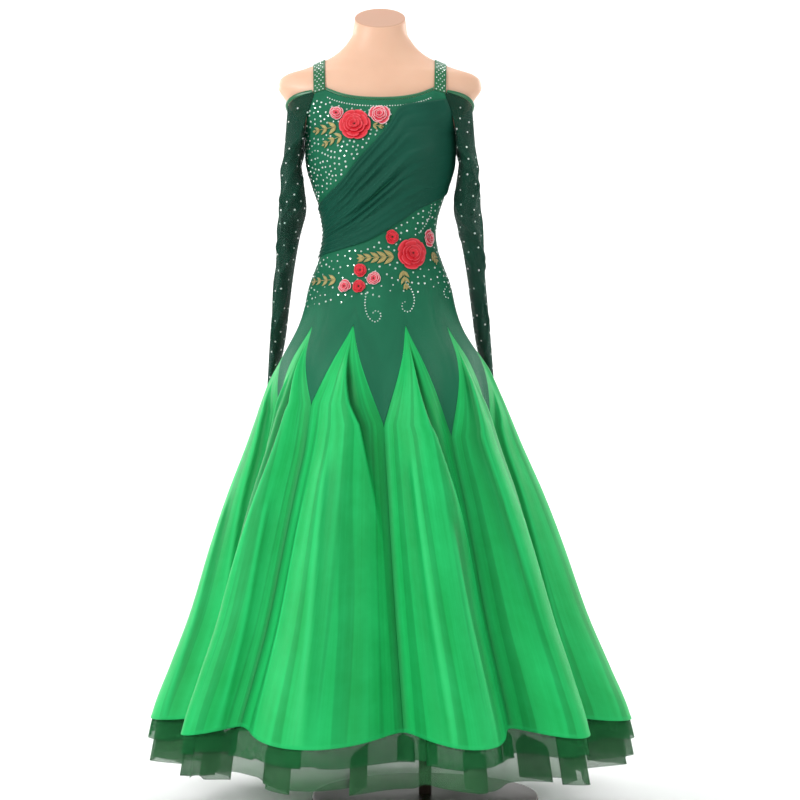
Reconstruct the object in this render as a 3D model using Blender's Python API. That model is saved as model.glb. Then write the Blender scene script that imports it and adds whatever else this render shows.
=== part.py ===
# Ballroom dance dress on a limbless dress form with a pole and a round base.
# Metres, +Z up, the front of the dress faces -Y. The origin is on the floor under the body's axis.
import bmesh
import bpy
from math import asin, cos, degrees, exp, floor, hypot, pi, radians, sin
from mathutils import Vector

# Driving sizes
CLOTH = 0.0012            # wall of a single cloth panel
SEAM = 0.0004             # gap between neighbouring pieces at a seam
APEX_Z = 0.925            # height of the godets' upper points
ARMPIT_Z = 1.268
NECK_CENTRE_Z = 1.3555
STRAP_FOOT_Z = 1.378
CORNER_Z = 1.372          # where neckline, armhole and sleeve top meet
NECK_BACK_Z = 1.330
NECK_CURVE = 2.2          # how flat the neckline is in the middle
NECK_BINDING_H = 0.0065
SHOULDER_BINDING_H = 0.0070
BINDING_HALF = 0.0011     # half the thickness of a satin binding
HEM_Z = 0.172
HEM_LIFT = 0.016          # how much higher the hem is in a valley
PANEL_START = 0.10        # where a godet starts, as a share of the way to the bodice's next vertex
CRIN_TOP_Z = 0.205
CRIN_UPPER_Z = 0.142
CRIN_LOWER_Z = 0.100
CRIN_GAP = 0.0018         # from one layer's middle to the next, at the line where they are sewn
CRIN_UPPER_OUT = 0.0055   # how far inside the skirt's line each flounce ends
CRIN_UPPER_WAVE = 0.0025
CRIN_LOWER_OUT = 0.0270
CRIN_LOWER_WAVE = 0.0090
STRAP_HALF = 0.0008       # half the thickness of a strap
STRAP_CLEAR = 0.0005      # gap between a strap's foot and the edge below it
STRAP_LEAN = 0.35         # how far the neck binding's ends lean away from a strap, per unit of height
BINDING_START = 0.0030    # from the armhole corner to the shoulder binding's end, beside the strap
STRAP_ROWS = 12
STRAP_SPREAD = 0.0020     # how far a strap leans outward on top of the shoulder
FORM_COLUMNS = 32
FORM_FLARE_Z = 0.935      # below this height the form no longer follows the cloth
SHOULDER_WIDEST_Z = 1.400
NECK_CUT_Z = 1.527
NECK_SLANT = 0.62
SLEEVE_TOP_Z = 1.336      # outer end of a sleeve's open top
SLEEVE_SEAM = 0.0008
SLEEVE_LAP = 0.0014       # how far outside the bodice's middle the sleeve is sewn on
ARMPIT_CLEAR = 0.0030
RIM_STEPS = 4
COLUMN_TURNS = [0, 30, 60, 92, 115, 137, 158, 180]   # where the armhole's points go round the sleeve
CUFF_UNEVEN = 0.030       # how much higher the right cuff's point hangs
TOUCH = 0.0003
BUST_X = 0.072
BUST_Z = 1.238
BUST_OUT = 0.020
BUST_SPREAD = 0.040
POLE_X = 0.088
POLE_R = 0.0125
BASE_R = 0.220
BASE_H = 0.014

# Sections of the cloth: height, half width, depth to the front, depth to the back, centre's shift in x
SECTIONS = [
    (0.090, 0.484, 0.448, 0.455, 0.023),
    (0.184, 0.462, 0.425, 0.430, 0.022),
    (0.270, 0.427, 0.392, 0.396, 0.020),
    (0.375, 0.382, 0.350, 0.352, 0.017),
    (0.500, 0.338, 0.302, 0.304, 0.013),
    (0.599, 0.302, 0.266, 0.270, 0.010),
    (0.689, 0.265, 0.232, 0.238, 0.007),
    (0.782, 0.229, 0.196, 0.204, 0.004),
    (0.860, 0.195, 0.160, 0.170, 0.002),
    (0.925, 0.159, 0.118, 0.136, 0.000),
    (0.958, 0.148, 0.108, 0.128, 0.000),
    (1.003, 0.138, 0.099, 0.114, 0.000),
    (1.048, 0.1215, 0.092, 0.097, 0.000),
    (1.078, 0.1120, 0.088, 0.090, 0.000),
    (1.106, 0.1085, 0.087, 0.087, 0.000),
    (1.135, 0.1120, 0.089, 0.088, 0.000),
    (1.163, 0.1200, 0.093, 0.091, 0.000),
    (1.198, 0.1320, 0.100, 0.095, 0.000),
    (1.241, 0.1440, 0.104, 0.097, 0.000),
    (1.270, 0.1460, 0.104, 0.096, 0.000),
    (1.300, 0.1482, 0.098, 0.092, 0.000),
    (1.330, 0.1700, 0.088, 0.086, 0.000),
    (1.360, 0.1900, 0.075, 0.079, 0.000),
    (1.390, 0.2010, 0.062, 0.070, 0.000),
    (1.406, 0.1970, 0.056, 0.065, 0.000),
    (1.418, 0.1820, 0.052, 0.061, 0.000),
    (1.428, 0.1500, 0.049, 0.058, 0.000),
    (1.440, 0.1180, 0.047, 0.056, 0.000),
    (1.456, 0.0880, 0.045, 0.054, 0.000),
    (1.475, 0.0680, 0.044, 0.052, 0.000),
    (1.500, 0.0540, 0.043, 0.048, 0.000),
    (1.560, 0.0480, 0.042, 0.044, 0.000),
]
# Half width of the front at the armhole seam above the armpit: height, half width
ARMHOLE = [(1.268, 0.1460), (1.300, 0.1440), (1.335, 0.1385), (1.372, 0.1255)]
# V points of the bodice, which are the valleys between the godets:
# azimuth at the top, height of the point, azimuth at the hem, depth of the valley
POINTS = [
    (-180, 0.740, -180, 0.22),
    (-144, 0.745, -140, 0.20),
    (-108, 0.750, -102, 0.22),
    (-72, 0.760, -64, 0.21),
    (-36, 0.775, -45, 0.16),
    (0, 0.735, 4, 0.25),
    (36, 0.715, 36, 0.20),
    (72, 0.730, 62, 0.18),
    (108, 0.745, 100, 0.22),
    (144, 0.740, 140, 0.20),
]
POINT_STEP = 36.0
EARLY_FALL = 0.26          # the valleys deepen over these two lengths below the godets' upper points
LATE_FALL = 0.70
LATE_SHARE = 0.3           # share of the depth that comes over the longer one
STEP_ANGLE = 0.2           # steps for slopes of the surface: degrees, metres
STEP_HEIGHT = 0.001
POINT_COLUMNS = 2          # columns of the bodice in half a V point
BODICE_COLUMNS = 20        # over the half circle of one bodice panel
LOWER_ROWS = 4             # rows between the hip line and the zigzag edge
HIP_Z = 1.000
BODICE_HEIGHTS = [1.000, 1.036, 1.064, 1.088, 1.112, 1.138, 1.168, 1.200, 1.234, 1.268, 1.300, 1.335, 1.372]
STRAP_COLUMN = 8           # column, out from the middle, of a strap's inner edge
PANEL_COLUMNS = 7
PANEL_ROWS = 7             # rows of a godet below the V points

# Lower and upper edge of the drape: place across the front, from -1 at one seam to 1, and height
DRAPE_LOWER = [(-1.0, 1.056), (-0.60, 1.066), (-0.20, 1.082), (0.22, 1.122), (0.46, 1.150), (1.0, 1.188)]
DRAPE_UPPER = [(-1.0, 1.154), (-0.70, 1.168), (-0.39, 1.196), (-0.15, 1.2445), (0.06, 1.296), (0.29, 1.344),
               (0.60, 1.352), (1.0, 1.360)]
DRAPE_COLUMNS = 20
DRAPE_FOLDS = 7
DRAPE_LEFT = -0.985       # how far across the front the drape reaches
DRAPE_RIGHT = 0.915
DRAPE_FADE = 0.75         # how much lower the folds are at the far side
UNEVEN = 0.25             # how unlike each other the folds and pleats are
DRAPE_IN = 0.0022
DRAPE_RIDGE = 0.0034

# Sleeve sections: height, inner and outer edge in x, centre in y, half depth
SLEEVE = [
    (1.240, 0.1530, 0.1890, 0.000, 0.061),
    (1.190, 0.1465, 0.1930, 0.002, 0.059),
    (1.150, 0.1440, 0.1970, 0.006, 0.055),
    (1.100, 0.1570, 0.2010, 0.014, 0.052),
    (1.030, 0.1700, 0.2060, 0.028, 0.048),
    (0.960, 0.1800, 0.2130, 0.048, 0.045),
    (0.905, 0.1880, 0.2190, 0.068, 0.042),
]
CUFF_Z = 0.862
CUFF_POINT_Z = 0.760
CUFF = (0.1980, 0.2290, 0.098, 0.038)
CUFF_CURVE = 1.3

# The form below the cloth's waist: height and size as a share of the ring at the flare
FORM_HIP = [(0.800, 0.955), (0.825, 0.990), (0.865, 1.010), (0.905, 1.006)]
FORM_HEIGHTS = [0.940, 0.970, 1.000, 1.036, 1.070, 1.100, 1.130, 1.165, 1.200, 1.234, 1.268, 1.300, 1.335,
                1.365, 1.390, 1.405, 1.416, 1.425, 1.434, 1.445, 1.460, 1.480]
# How far the form lies inside the cloth's middle: height, distance
FORM_INSIDE = [(0.9, 0.0030), (1.240, 0.0030), (1.285, 0.0080), (1.360, 0.0080), (1.392, 0.0024), (1.416, 0.0016)]

# Flowers of the applique: name, x, height, radius, petals
ROSES = [
    ("rose_chest_main", -0.047, 1.305, 0.030, 6),
    ("rose_chest_small", -0.082, 1.330, 0.013, 5),
    ("rose_chest_side", 0.000, 1.325, 0.019, 5),
    ("rose_hip_main", 0.062, 1.062, 0.030, 6),
    ("rose_hip_upper", 0.024, 1.093, 0.013, 5),
    ("rose_hip_bud", 0.094, 1.094, 0.016, 5),
    ("rose_hip_trail_1", -0.036, 1.029, 0.0125, 5),
    ("rose_hip_trail_2", -0.011, 1.013, 0.0125, 5),
    ("rose_hip_trail_3", -0.066, 0.999, 0.0120, 5),
    ("rose_hip_trail_4", -0.039, 0.998, 0.0120, 5),
]
# Leaves: name, x and height of the stem's end, of the tip, half width, leaflets on each side
LEAVES = [
    ("leaf_chest_outer", -0.082, 1.302, -0.126, 1.298, 0.012, 3),
    ("leaf_chest_lower", -0.071, 1.283, -0.108, 1.268, 0.010, 3),
    ("leaf_chest_inner", -0.012, 1.304, 0.008, 1.300, 0.007, 2),
    ("leaf_hip_spray", 0.027, 1.055, -0.042, 1.052, 0.013, 5),
    ("leaf_hip_side", 0.099, 1.066, 0.1135, 1.048, 0.009, 3),
    ("leaf_hip_trail", -0.083, 1.012, -0.130, 1.010, 0.011, 4),
    ("leaf_hip_lower", 0.044, 1.028, 0.056, 0.992, 0.010, 3),
]
APPLIQUE_IN = 0.0015
APPLIQUE_THICK = 0.0012
APPLIQUE_RAISED = 0.0022
HEART_SHARE = 0.5          # a flower's raised ring, as a share of its radius
HEART_LIFT = 0.6           # how much of the raised height its middle keeps
PETAL_NOTCH = 0.84         # radius between two petals
LEAF_TAPER = 0.45
LEAF_NOTCH = 0.30          # width between two leaflets


def smooth(table, x, column):
    """A monotone curve through one column of a table whose first column rises."""
    last = len(table) - 1
    if x <= table[0][0]:
        return table[0][column]
    if x >= table[last][0]:
        return table[last][column]
    i = max(k for k in range(last) if table[k][0] <= x)

    def chord(k):
        return (table[k + 1][column] - table[k][column]) / (table[k + 1][0] - table[k][0])

    def slope(k):
        if k in (0, last):
            return chord(min(k, last - 1))
        a, b = chord(k - 1), chord(k)
        return 0.0 if a * b <= 0 else 2 * a * b / (a + b)

    h = table[i + 1][0] - table[i][0]
    t = (x - table[i][0]) / h
    a, b = table[i][column], table[i + 1][column]
    return (a * (1 + 2 * t) * (1 - t) ** 2 + b * t * t * (3 - 2 * t)
            + h * slope(i) * t * (1 - t) ** 2 - h * slope(i + 1) * t * t * (1 - t))


def ease(t):
    t = min(1.0, max(0.0, t))
    return t * t * (3 - 2 * t)


def point_row(k):
    """Azimuth at the top, point's height, azimuth at the hem and valley depth of V point k, any whole k."""
    top, tip, hem, depth = POINTS[k % len(POINTS)]
    turn = 360 * (k // len(POINTS))
    return top + turn, tip, hem + turn, depth


def valley(k, z):
    """Azimuth of valley k at a height."""
    top, _, hem, _ = point_row(k)
    t = min(1.0, max(0.0, (APEX_Z - z) / (APEX_Z - HEM_Z)))
    return top + (hem - top) * t


def ripple(azimuth, z):
    """How far the skirt is drawn in, as a share of its radius."""
    if z >= APEX_Z:
        return 0.0
    k = floor((azimuth + 180) / POINT_STEP)
    while valley(k, z) > azimuth:
        k -= 1
    while valley(k + 1, z) <= azimuth:
        k += 1
    t = (azimuth - valley(k, z)) / (valley(k + 1, z) - valley(k, z))
    depth = point_row(k)[3] * (1 - ease(t)) + point_row(k + 1)[3] * ease(t)
    fall = APEX_Z - z
    fade = (1 - LATE_SHARE) * ease(fall / EARLY_FALL) + LATE_SHARE * ease(fall / LATE_FALL)
    return depth * fade * cos(pi * t) ** 2


def surface(azimuth, z):
    """Point of the garment's middle surface; azimuth 0 is the front and 90 is +X."""
    a = radians(azimuth)
    draw = 1 - ripple(azimuth, z)
    side = smooth(SECTIONS, z, 1) * draw
    depth = smooth(SECTIONS, z, 2 if cos(a) >= 0 else 3) * draw
    x = side * sin(a)
    y = -depth * cos(a)
    if cos(a) > 0:
        for bust in (-BUST_X, BUST_X):
            far = ((x - bust) ** 2 + (z - BUST_Z) ** 2) / (2 * BUST_SPREAD ** 2)
            y -= BUST_OUT * exp(-far) * cos(a)
    return Vector((x + smooth(SECTIONS, z, 4), y, z))


def cloth(azimuth, z, out=0.0):
    """Point of the surface, moved out along its normal."""
    across = surface(azimuth + STEP_ANGLE, z) - surface(azimuth - STEP_ANGLE, z)
    up = surface(azimuth, z + STEP_HEIGHT) - surface(azimuth, z - STEP_HEIGHT)
    return surface(azimuth, z) + across.cross(up).normalized() * out


def shift(azimuth, z, distance):
    """The azimuth that lies a distance along the surface from the one given."""
    per_degree = (surface(azimuth + STEP_ANGLE, z) - surface(azimuth - STEP_ANGLE, z)).length / (2 * STEP_ANGLE)
    return azimuth + distance / per_degree


def seam_azimuth(z):
    """Azimuth of the side seam, and of the armhole seam above the armpit."""
    if z <= ARMPIT_Z:
        return 90.0
    share = smooth(ARMHOLE, z, 1) / smooth(SECTIONS, z, 1)
    return degrees(asin(min(1.0, share)))


def front_azimuth(x, z):
    """Azimuth of the front at a given x and height."""
    return degrees(asin(max(-1.0, min(1.0, x / smooth(SECTIONS, z, 1)))))


def material(name, colour, roughness):
    """The named Principled material, made once."""
    if name in bpy.data.materials:
        return bpy.data.materials[name]
    made = bpy.data.materials.new(name)
    made.use_nodes = True
    shader = made.node_tree.nodes["Principled BSDF"]
    shader.inputs["Base Color"].default_value = (*colour, 1)
    shader.inputs["Roughness"].default_value = roughness
    shader.inputs["Metallic"].default_value = 0
    return made


def add_object(name, shape, finish, group):
    """Turn a bmesh into a named object, its faces outward and shaded smooth."""
    bmesh.ops.recalc_face_normals(shape, faces=shape.faces)
    mesh = bpy.data.meshes.new(name)
    shape.to_mesh(mesh)
    shape.free()
    mesh.shade_smooth()
    mesh.set_sharp_from_angle(angle=radians(40))
    mesh.materials.append(material(*finish))
    made = bpy.data.objects.new(name, mesh)
    group.objects.link(made)
    return made


def wall(name, inner, outer, finish, group, closed=False):
    """Closed wall between two grids of points; closed joins each row's last point to its first."""
    shape = bmesh.new()
    grids = [[[shape.verts.new(p) for p in row] for row in grid] for grid in (inner, outer)]
    low, high = grids
    columns = len(inner[0])
    spans = columns if closed else columns - 1

    def quad(a, b, c, d, flip):
        if flip:
            shape.faces.new((a, b, c))
            shape.faces.new((a, c, d))
        else:
            shape.faces.new((a, b, d))
            shape.faces.new((b, c, d))

    for i in range(len(inner) - 1):
        for j in range(spans):
            k = (j + 1) % columns
            flip = (inner[i][j] - inner[i + 1][k]).length < (inner[i][k] - inner[i + 1][j]).length
            for grid in grids:
                quad(grid[i][j], grid[i][k], grid[i + 1][k], grid[i + 1][j], flip)
    for i in (0, len(inner) - 1):
        for j in range(spans):
            k = (j + 1) % columns
            quad(low[i][j], low[i][k], high[i][k], high[i][j], True)
    if not closed:
        for j in (0, columns - 1):
            for i in range(len(inner) - 1):
                quad(low[i][j], low[i + 1][j], high[i + 1][j], high[i][j], True)
    return add_object(name, shape, finish, group)


def sheet_wall(name, places, finish, group, low=-CLOTH / 2, high=CLOTH / 2, closed=False):
    """Wall on the garment's surface through a grid of azimuths and heights."""
    inner = [[cloth(a, z, low) for a, z in row] for row in places]
    outer = [[cloth(a, z, high) for a, z in row] for row in places]
    return wall(name, inner, outer, finish, group, closed)


BODICE = ("bodice_jersey", (0.024, 0.148, 0.080), 0.55)
DRAPE = ("drape_jersey", (0.013, 0.105, 0.065), 0.60)
SLEEVE_NET = ("sleeve_net", (0.014, 0.115, 0.055), 0.65)
SATIN = ("satin_binding", (0.030, 0.250, 0.100), 0.35)
ORGANZA = ("skirt_organza", (0.017, 0.450, 0.115), 0.40)
CRINOLINE = ("hem_crinoline", (0.024, 0.150, 0.065), 0.55)
ROSE = ("rose_applique", (0.750, 0.012, 0.027), 0.60)
LEAF = ("leaf_applique", (0.330, 0.270, 0.080), 0.50)
FORM = ("form_skin", (0.820, 0.520, 0.370), 0.45)
STEEL = ("stand_steel", (0.060, 0.035, 0.025), 0.40)


def top_height(share, centre_z):
    """Height of the bodice's top edge; share runs from 0 at the middle to 1 at the armhole corner."""
    foot = STRAP_COLUMN / (BODICE_COLUMNS / 2)
    if share <= foot:
        return centre_z + (STRAP_FOOT_Z - centre_z) * (share / foot) ** NECK_CURVE
    return STRAP_FOOT_Z + (CORNER_Z - STRAP_FOOT_Z) * (share - foot) / (1 - foot)


def point_edge(k, step, side):
    """Azimuth and height of a vertex on the edge of V point k, step columns out from its middle."""
    tip = point_row(k)[1]
    z = tip + (APEX_Z - tip) * step / POINT_COLUMNS
    return valley(k, z) + side * step * POINT_STEP / 2 / POINT_COLUMNS, z


def bodice_places(middle, centre_z):
    """Azimuths and heights of a bodice panel, from the zigzag edge up to the neckline."""
    heights = BODICE_HEIGHTS
    rows = [[] for _ in range(LOWER_ROWS + len(heights))]
    half = BODICE_COLUMNS // 2
    for j in range(-half, half + 1):
        share = j / half
        top = middle + 90 * share
        k = round((top + 180) / POINT_STEP)
        if abs(j) == half:
            k = round((middle + 72 * share + 180) / POINT_STEP)
        from_middle = top - point_row(k)[0]
        tip = point_row(k)[1]
        edge_z = tip + (APEX_Z - tip) * abs(from_middle) / (POINT_STEP / 2)
        nudge = -SEAM / 2 * (j // half) if abs(j) == half else 0.0
        for i in range(LOWER_ROWS):
            z = edge_z + (HIP_Z - edge_z) * i / LOWER_ROWS
            rows[i].append((shift(valley(k, z) + from_middle, z, nudge), z))
        for i, height in enumerate(heights):
            z = height
            if height > heights[-3]:
                rise = top_height(abs(share), centre_z) - heights[-3]
                z = heights[-3] + (height - heights[-3]) * rise / (CORNER_Z - heights[-3])
            azimuth = middle + seam_azimuth(min(z, CORNER_Z)) * share
            rows[LOWER_ROWS + i].append((shift(azimuth, z, nudge), z))
    return rows


def build_bodice(group):
    """Front and back panels and the bindings on their necklines."""
    for name, middle, centre_z in (("front", 0, NECK_CENTRE_Z), ("back", 180, NECK_BACK_Z)):
        places = bodice_places(middle, centre_z)
        sheet_wall("bodice_" + name, places, BODICE, group)
        first = BODICE_COLUMNS // 2 - STRAP_COLUMN
        edge = places[-1][first:first + 2 * STRAP_COLUMN + 1]
        strip = [[(a, z + rise) for a, z in edge] for rise in (SEAM, SEAM + NECK_BINDING_H)]
        for row, clear in zip(strip, (STRAP_CLEAR, STRAP_CLEAR + NECK_BINDING_H * STRAP_LEAN)):
            row[0] = (shift(*row[0], clear), row[0][1])
            row[-1] = (shift(*row[-1], -clear), row[-1][1])
        sheet_wall("binding_neck_" + name, strip, SATIN, group, -BINDING_HALF, BINDING_HALF)


def build_drape(group):
    """The ruched layer: folds fan out from the left side seam over an even underside."""
    rows = 2 * DRAPE_FOLDS + 1
    inner, outer = [], []
    for i in range(rows):
        t = i / (rows - 1)
        inner.append([])
        outer.append([])
        for j in range(DRAPE_COLUMNS + 1):
            share = DRAPE_LEFT + (DRAPE_RIGHT - DRAPE_LEFT) * j / DRAPE_COLUMNS
            low = smooth(DRAPE_LOWER, share, 1)
            high = smooth(DRAPE_UPPER, share, 1)
            z = low + (high - low) * t
            azimuth = seam_azimuth(z) * share
            gather = 1 - DRAPE_FADE * (share + 1) / 2
            uneven = 1 - UNEVEN + UNEVEN * sin(2.3 * i + 1.7 * share)
            ridge = DRAPE_RIDGE * gather * uneven if i % 2 else 0.0
            inner[-1].append(cloth(azimuth, z, DRAPE_IN))
            outer[-1].append(cloth(azimuth, z, DRAPE_IN + CLOTH + ridge))
    wall("drape_front", inner, outer, DRAPE, group)


def panel_edge(k, side):
    """Azimuths and heights down one edge of a godet, on the given side of V point k."""
    tip = point_row(k)[1]
    down = [point_edge(k, step, side) for step in range(POINT_COLUMNS, -1, -1)]
    for i in range(1, PANEL_ROWS):
        z = tip + (CRIN_TOP_Z - tip) * i / (PANEL_ROWS - 1)
        down.append((valley(k, z), z))
    down.append((valley(k, HEM_Z + HEM_LIFT), HEM_Z + HEM_LIFT))
    return [(shift(a, z, side * SEAM), z) for a, z in down]


def build_skirt(group):
    """Ten godets, each a flute between two V points."""
    for k in range(len(POINTS)):
        left = panel_edge(k, 1)
        right = panel_edge(k + 1, -1)
        inner, outer = [], []
        for grid, out in ((inner, -CLOTH / 2), (outer, CLOTH / 2)):
            for i in range(len(left)):
                grid.append([])
                for j in range(PANEL_COLUMNS + 1):
                    s = j / PANEL_COLUMNS
                    a = left[i][0] + (right[i][0] - left[i][0]) * s
                    z = left[i][1] + (right[i][1] - left[i][1]) * s
                    if i == len(left) - 1:
                        z -= HEM_LIFT * sin(pi * s)
                    grid[-1].append(cloth(a, z, out))
            for j in range(PANEL_COLUMNS + 1):
                s = j / PANEL_COLUMNS
                ends = [cloth(*edge[0], out).lerp(cloth(*edge[1], out), PANEL_START) for edge in (left, right)]
                grid[0][j] = ends[0].lerp(ends[1], s)
        wall("skirt_panel_%02d" % (k + 1), inner, outer, ORGANZA, group)


def hem_place(column, z):
    """Azimuth of a hem column, counted in panel columns round the skirt; halves lie between two."""
    k = column // PANEL_COLUMNS
    s = (column % PANEL_COLUMNS) / PANEL_COLUMNS
    return valley(k, z) + (valley(k + 1, z) - valley(k, z)) * s


def hem_point(half_column, z, out):
    """Point at a half step of the hem's columns, on the facets of the skirt above."""
    first = cloth(hem_place(half_column // 2, z), z, out)
    if half_column % 2 == 0:
        return first
    return first.lerp(cloth(hem_place(half_column // 2 + 1, z), z, out), 0.5)


def build_crinoline(group):
    """Two flounces of stiff net inside the hem: a short even one and a long pleated one."""
    count = PANEL_COLUMNS * len(POINTS)
    layers = (
        ("upper", 2, CRIN_UPPER_Z, CRIN_GAP, CRIN_UPPER_OUT, CRIN_UPPER_WAVE, 2),
        ("lower", 1, CRIN_LOWER_Z, 2 * CRIN_GAP, CRIN_LOWER_OUT, CRIN_LOWER_WAVE, 4),
    )
    for name, step, bottom_z, top_in, bottom_in, wave, period in layers:
        inner, outer = [], []
        for grid, side in ((inner, -CLOTH / 2), (outer, CLOTH / 2)):
            top_row, bottom_row = [], []
            for i, half in enumerate(range(0, 2 * count, step)):
                swing = (0, 1, 0, -1)[i % 4] if period == 4 else (1, -1)[i % 2]
                depth = wave * swing * (1 - UNEVEN + UNEVEN * sin(1.9 * (i // period)))
                top_row.append(hem_point(half, CRIN_TOP_Z, side - top_in))
                bottom_row.append(hem_point(half, bottom_z, side - bottom_in + depth))
            grid.extend([top_row, bottom_row])
        wall("crinoline_" + name, inner, outer, CRINOLINE, group, True)


def rim_place(t):
    """Azimuth and height along the sleeve's open top, from the armhole corner to its outer end."""
    corner = seam_azimuth(CORNER_Z)
    return corner + (90 - corner) * t, CORNER_Z + (SLEEVE_TOP_Z - CORNER_Z) * t ** 1.5


def sleeve_rim():
    """Azimuths and heights of the right sleeve's top edge: armpit, front, outer end, back."""
    seam = [(shift(seam_azimuth(z), z, SLEEVE_SEAM), z) for z, _ in ARMHOLE[1:]]
    over = [rim_place(t / RIM_STEPS) for t in range(1, RIM_STEPS + 1)]
    forward = seam + over
    return forward + [(180 - a, z) for a, z in reversed(forward[:-1])]


def mirrored(point, side):
    return Vector((point.x * side, point.y, point.z))


def build_sleeve(name, side, point_z, group):
    """An off-shoulder sleeve: its top follows the armhole and passes round the shoulder."""
    rim = [Vector((smooth(ARMHOLE, ARMPIT_Z, 1) + ARMPIT_CLEAR, 0, ARMPIT_Z))]
    lap = len(ARMHOLE) - 1
    for j, (a, z) in enumerate(sleeve_rim()):
        over = lap <= j < lap + 2 * RIM_STEPS - 1
        rim.append(cloth(a, z, CLOTH / 2 if over else SLEEVE_LAP))
    columns = len(rim)
    turns = [COLUMN_TURNS[min(j, columns - j)] for j in range(columns)]
    angles = [radians(turn if j <= columns // 2 else 360 - turn) for j, turn in enumerate(turns)]

    def section(row, angle, z):
        near, far, middle_y, half_depth = row
        half = (far - near) / 2
        return Vector((near + half - half * cos(angle), middle_y - half_depth * sin(angle), z))

    first = [section(SLEEVE[0][1:], angle, SLEEVE[0][0]) for angle in angles]
    grid = [rim, [a.lerp(b, 0.5) for a, b in zip(rim, first)]]
    for row in SLEEVE:
        grid.append([section(row[1:], angle, row[0]) for angle in angles])
    grid.append([section(CUFF, angle, CUFF_Z + (point_z - CUFF_Z) * ((1 - cos(angle)) / 2) ** CUFF_CURVE)
                 for angle in angles])
    inner = []
    for i, row in enumerate(grid):
        inner.append([])
        for j, point in enumerate(row):
            round_it = row[(j + 1) % columns] - row[j - 1]
            down = grid[min(i + 1, len(grid) - 1)][j] - grid[max(i - 1, 0)][j]
            normal = down.cross(round_it).normalized()
            inner[-1].append(point - normal * CLOTH)
    outer = [[mirrored(p, side) for p in row] for row in grid]
    inner = [[mirrored(p, side) for p in row] for row in inner]
    wall("sleeve_" + name, inner, outer, SLEEVE_NET, group, True)

    path = [rim_place(t / RIM_STEPS) for t in range(RIM_STEPS + 1)]
    path += [(180 - a, z) for a, z in reversed(path[:-1])]
    path[0] = (shift(*path[0], BINDING_START), path[0][1])
    path[-1] = (shift(*path[-1], -BINDING_START), path[-1][1])
    edges = [[[mirrored(cloth(a, z + rise, out), side) for a, z in path]
              for rise in (SEAM, SEAM + SHOULDER_BINDING_H)] for out in (-BINDING_HALF, BINDING_HALF)]
    wall("binding_shoulder_" + name, edges[0], edges[1], SATIN, group)


def shoulder_height(x):
    """Height of the shoulder's top at a given x, found by halving."""
    low, high = SHOULDER_WIDEST_Z, SECTIONS[-1][0]
    while high - low > STEP_HEIGHT / 100:
        middle = (low + high) / 2
        if smooth(SECTIONS, middle, 1) > x:
            low = middle
        else:
            high = middle
    return low


def strap_point(x, t, foot, out):
    """Point of a strap at a given x, from its front foot (t 0) over the shoulder to its back foot (t 1)."""
    ridge = shoulder_height(x)
    z = ridge - (ridge - foot) * (1 - 2 * t) ** 2
    share = min(1.0, x / smooth(SECTIONS, z, 1))
    azimuth = degrees(asin(share))
    return cloth(azimuth if t < 0.5 else 180 - azimuth, z, out)


def build_strap(name, side, group):
    """A strap from the bodice's top edge over the shoulder to the back."""
    half = BODICE_COLUMNS // 2
    share = [column / half for column in range(STRAP_COLUMN, half + 1)]
    foot_x = [smooth(SECTIONS, STRAP_FOOT_Z, 1) * sin(radians(seam_azimuth(CORNER_Z) * s)) for s in share]
    foot_z = [top_height(s, NECK_CENTRE_Z) + STRAP_CLEAR for s in share]
    grids = []
    for out in (-STRAP_HALF, STRAP_HALF):
        rows = []
        for i in range(STRAP_ROWS + 1):
            t = i / STRAP_ROWS
            spread = STRAP_SPREAD * sin(pi * t)
            rows.append([mirrored(strap_point(x + spread, t, z, out), side)
                         for x, z in zip(foot_x, foot_z)])
        grids.append(rows)
    wall("strap_" + name, grids[0], grids[1], SATIN, group)


def form_ring(z, scale):
    """Ring of the dress form at a height."""
    depth = smooth(FORM_INSIDE, z, 1)
    turns = [360 * j / FORM_COLUMNS for j in range(FORM_COLUMNS)]
    ring = [cloth(a, max(z, FORM_FLARE_Z), -depth) for a in turns]
    return [Vector((p.x * scale, p.y * scale, z)) if z < FORM_FLARE_Z else p for p in ring]


def build_form(group):
    """The smooth torso: rings up to the neck, closed flat at the hip and with a slanted cut at the neck."""
    rings = [form_ring(z, scale) for z, scale in FORM_HIP]
    rings += [form_ring(z, 1.0) for z in FORM_HEIGHTS]
    neck = form_ring(NECK_CUT_Z, 1.0)
    rings.append([Vector((p.x, p.y, NECK_CUT_Z + NECK_SLANT * p.y)) for p in neck])
    shape = bmesh.new()
    rows = [[shape.verts.new(p) for p in ring] for ring in rings]
    for low, high in zip(rows, rows[1:]):
        for j in range(FORM_COLUMNS):
            k = (j + 1) % FORM_COLUMNS
            shape.faces.new((low[j], low[k], high[k]))
            shape.faces.new((low[j], high[k], high[j]))
    shape.faces.new(rows[0])
    shape.faces.new(rows[-1])
    add_object("form_torso", shape, FORM, group)


def build_stand(group):
    """Pole and round base."""
    bottom = FORM_HIP[0][0]
    for name, radius, low, high, sides in (
        ("stand_pole", POLE_R, BASE_H + TOUCH, bottom - TOUCH, 16),
        ("stand_base", BASE_R, 0.0, BASE_H, 40),
    ):
        bpy.ops.mesh.primitive_cylinder_add(vertices=sides, radius=radius, depth=high - low,
                                            location=(POLE_X, 0, (low + high) / 2))
        made = bpy.context.object
        made.name = name
        made.data.shade_smooth()
        made.data.set_sharp_from_angle(angle=radians(40))
        made.data.materials.append(material(*STEEL))
        for owner in list(made.users_collection):
            owner.objects.unlink(made)
        group.objects.link(made)


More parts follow.
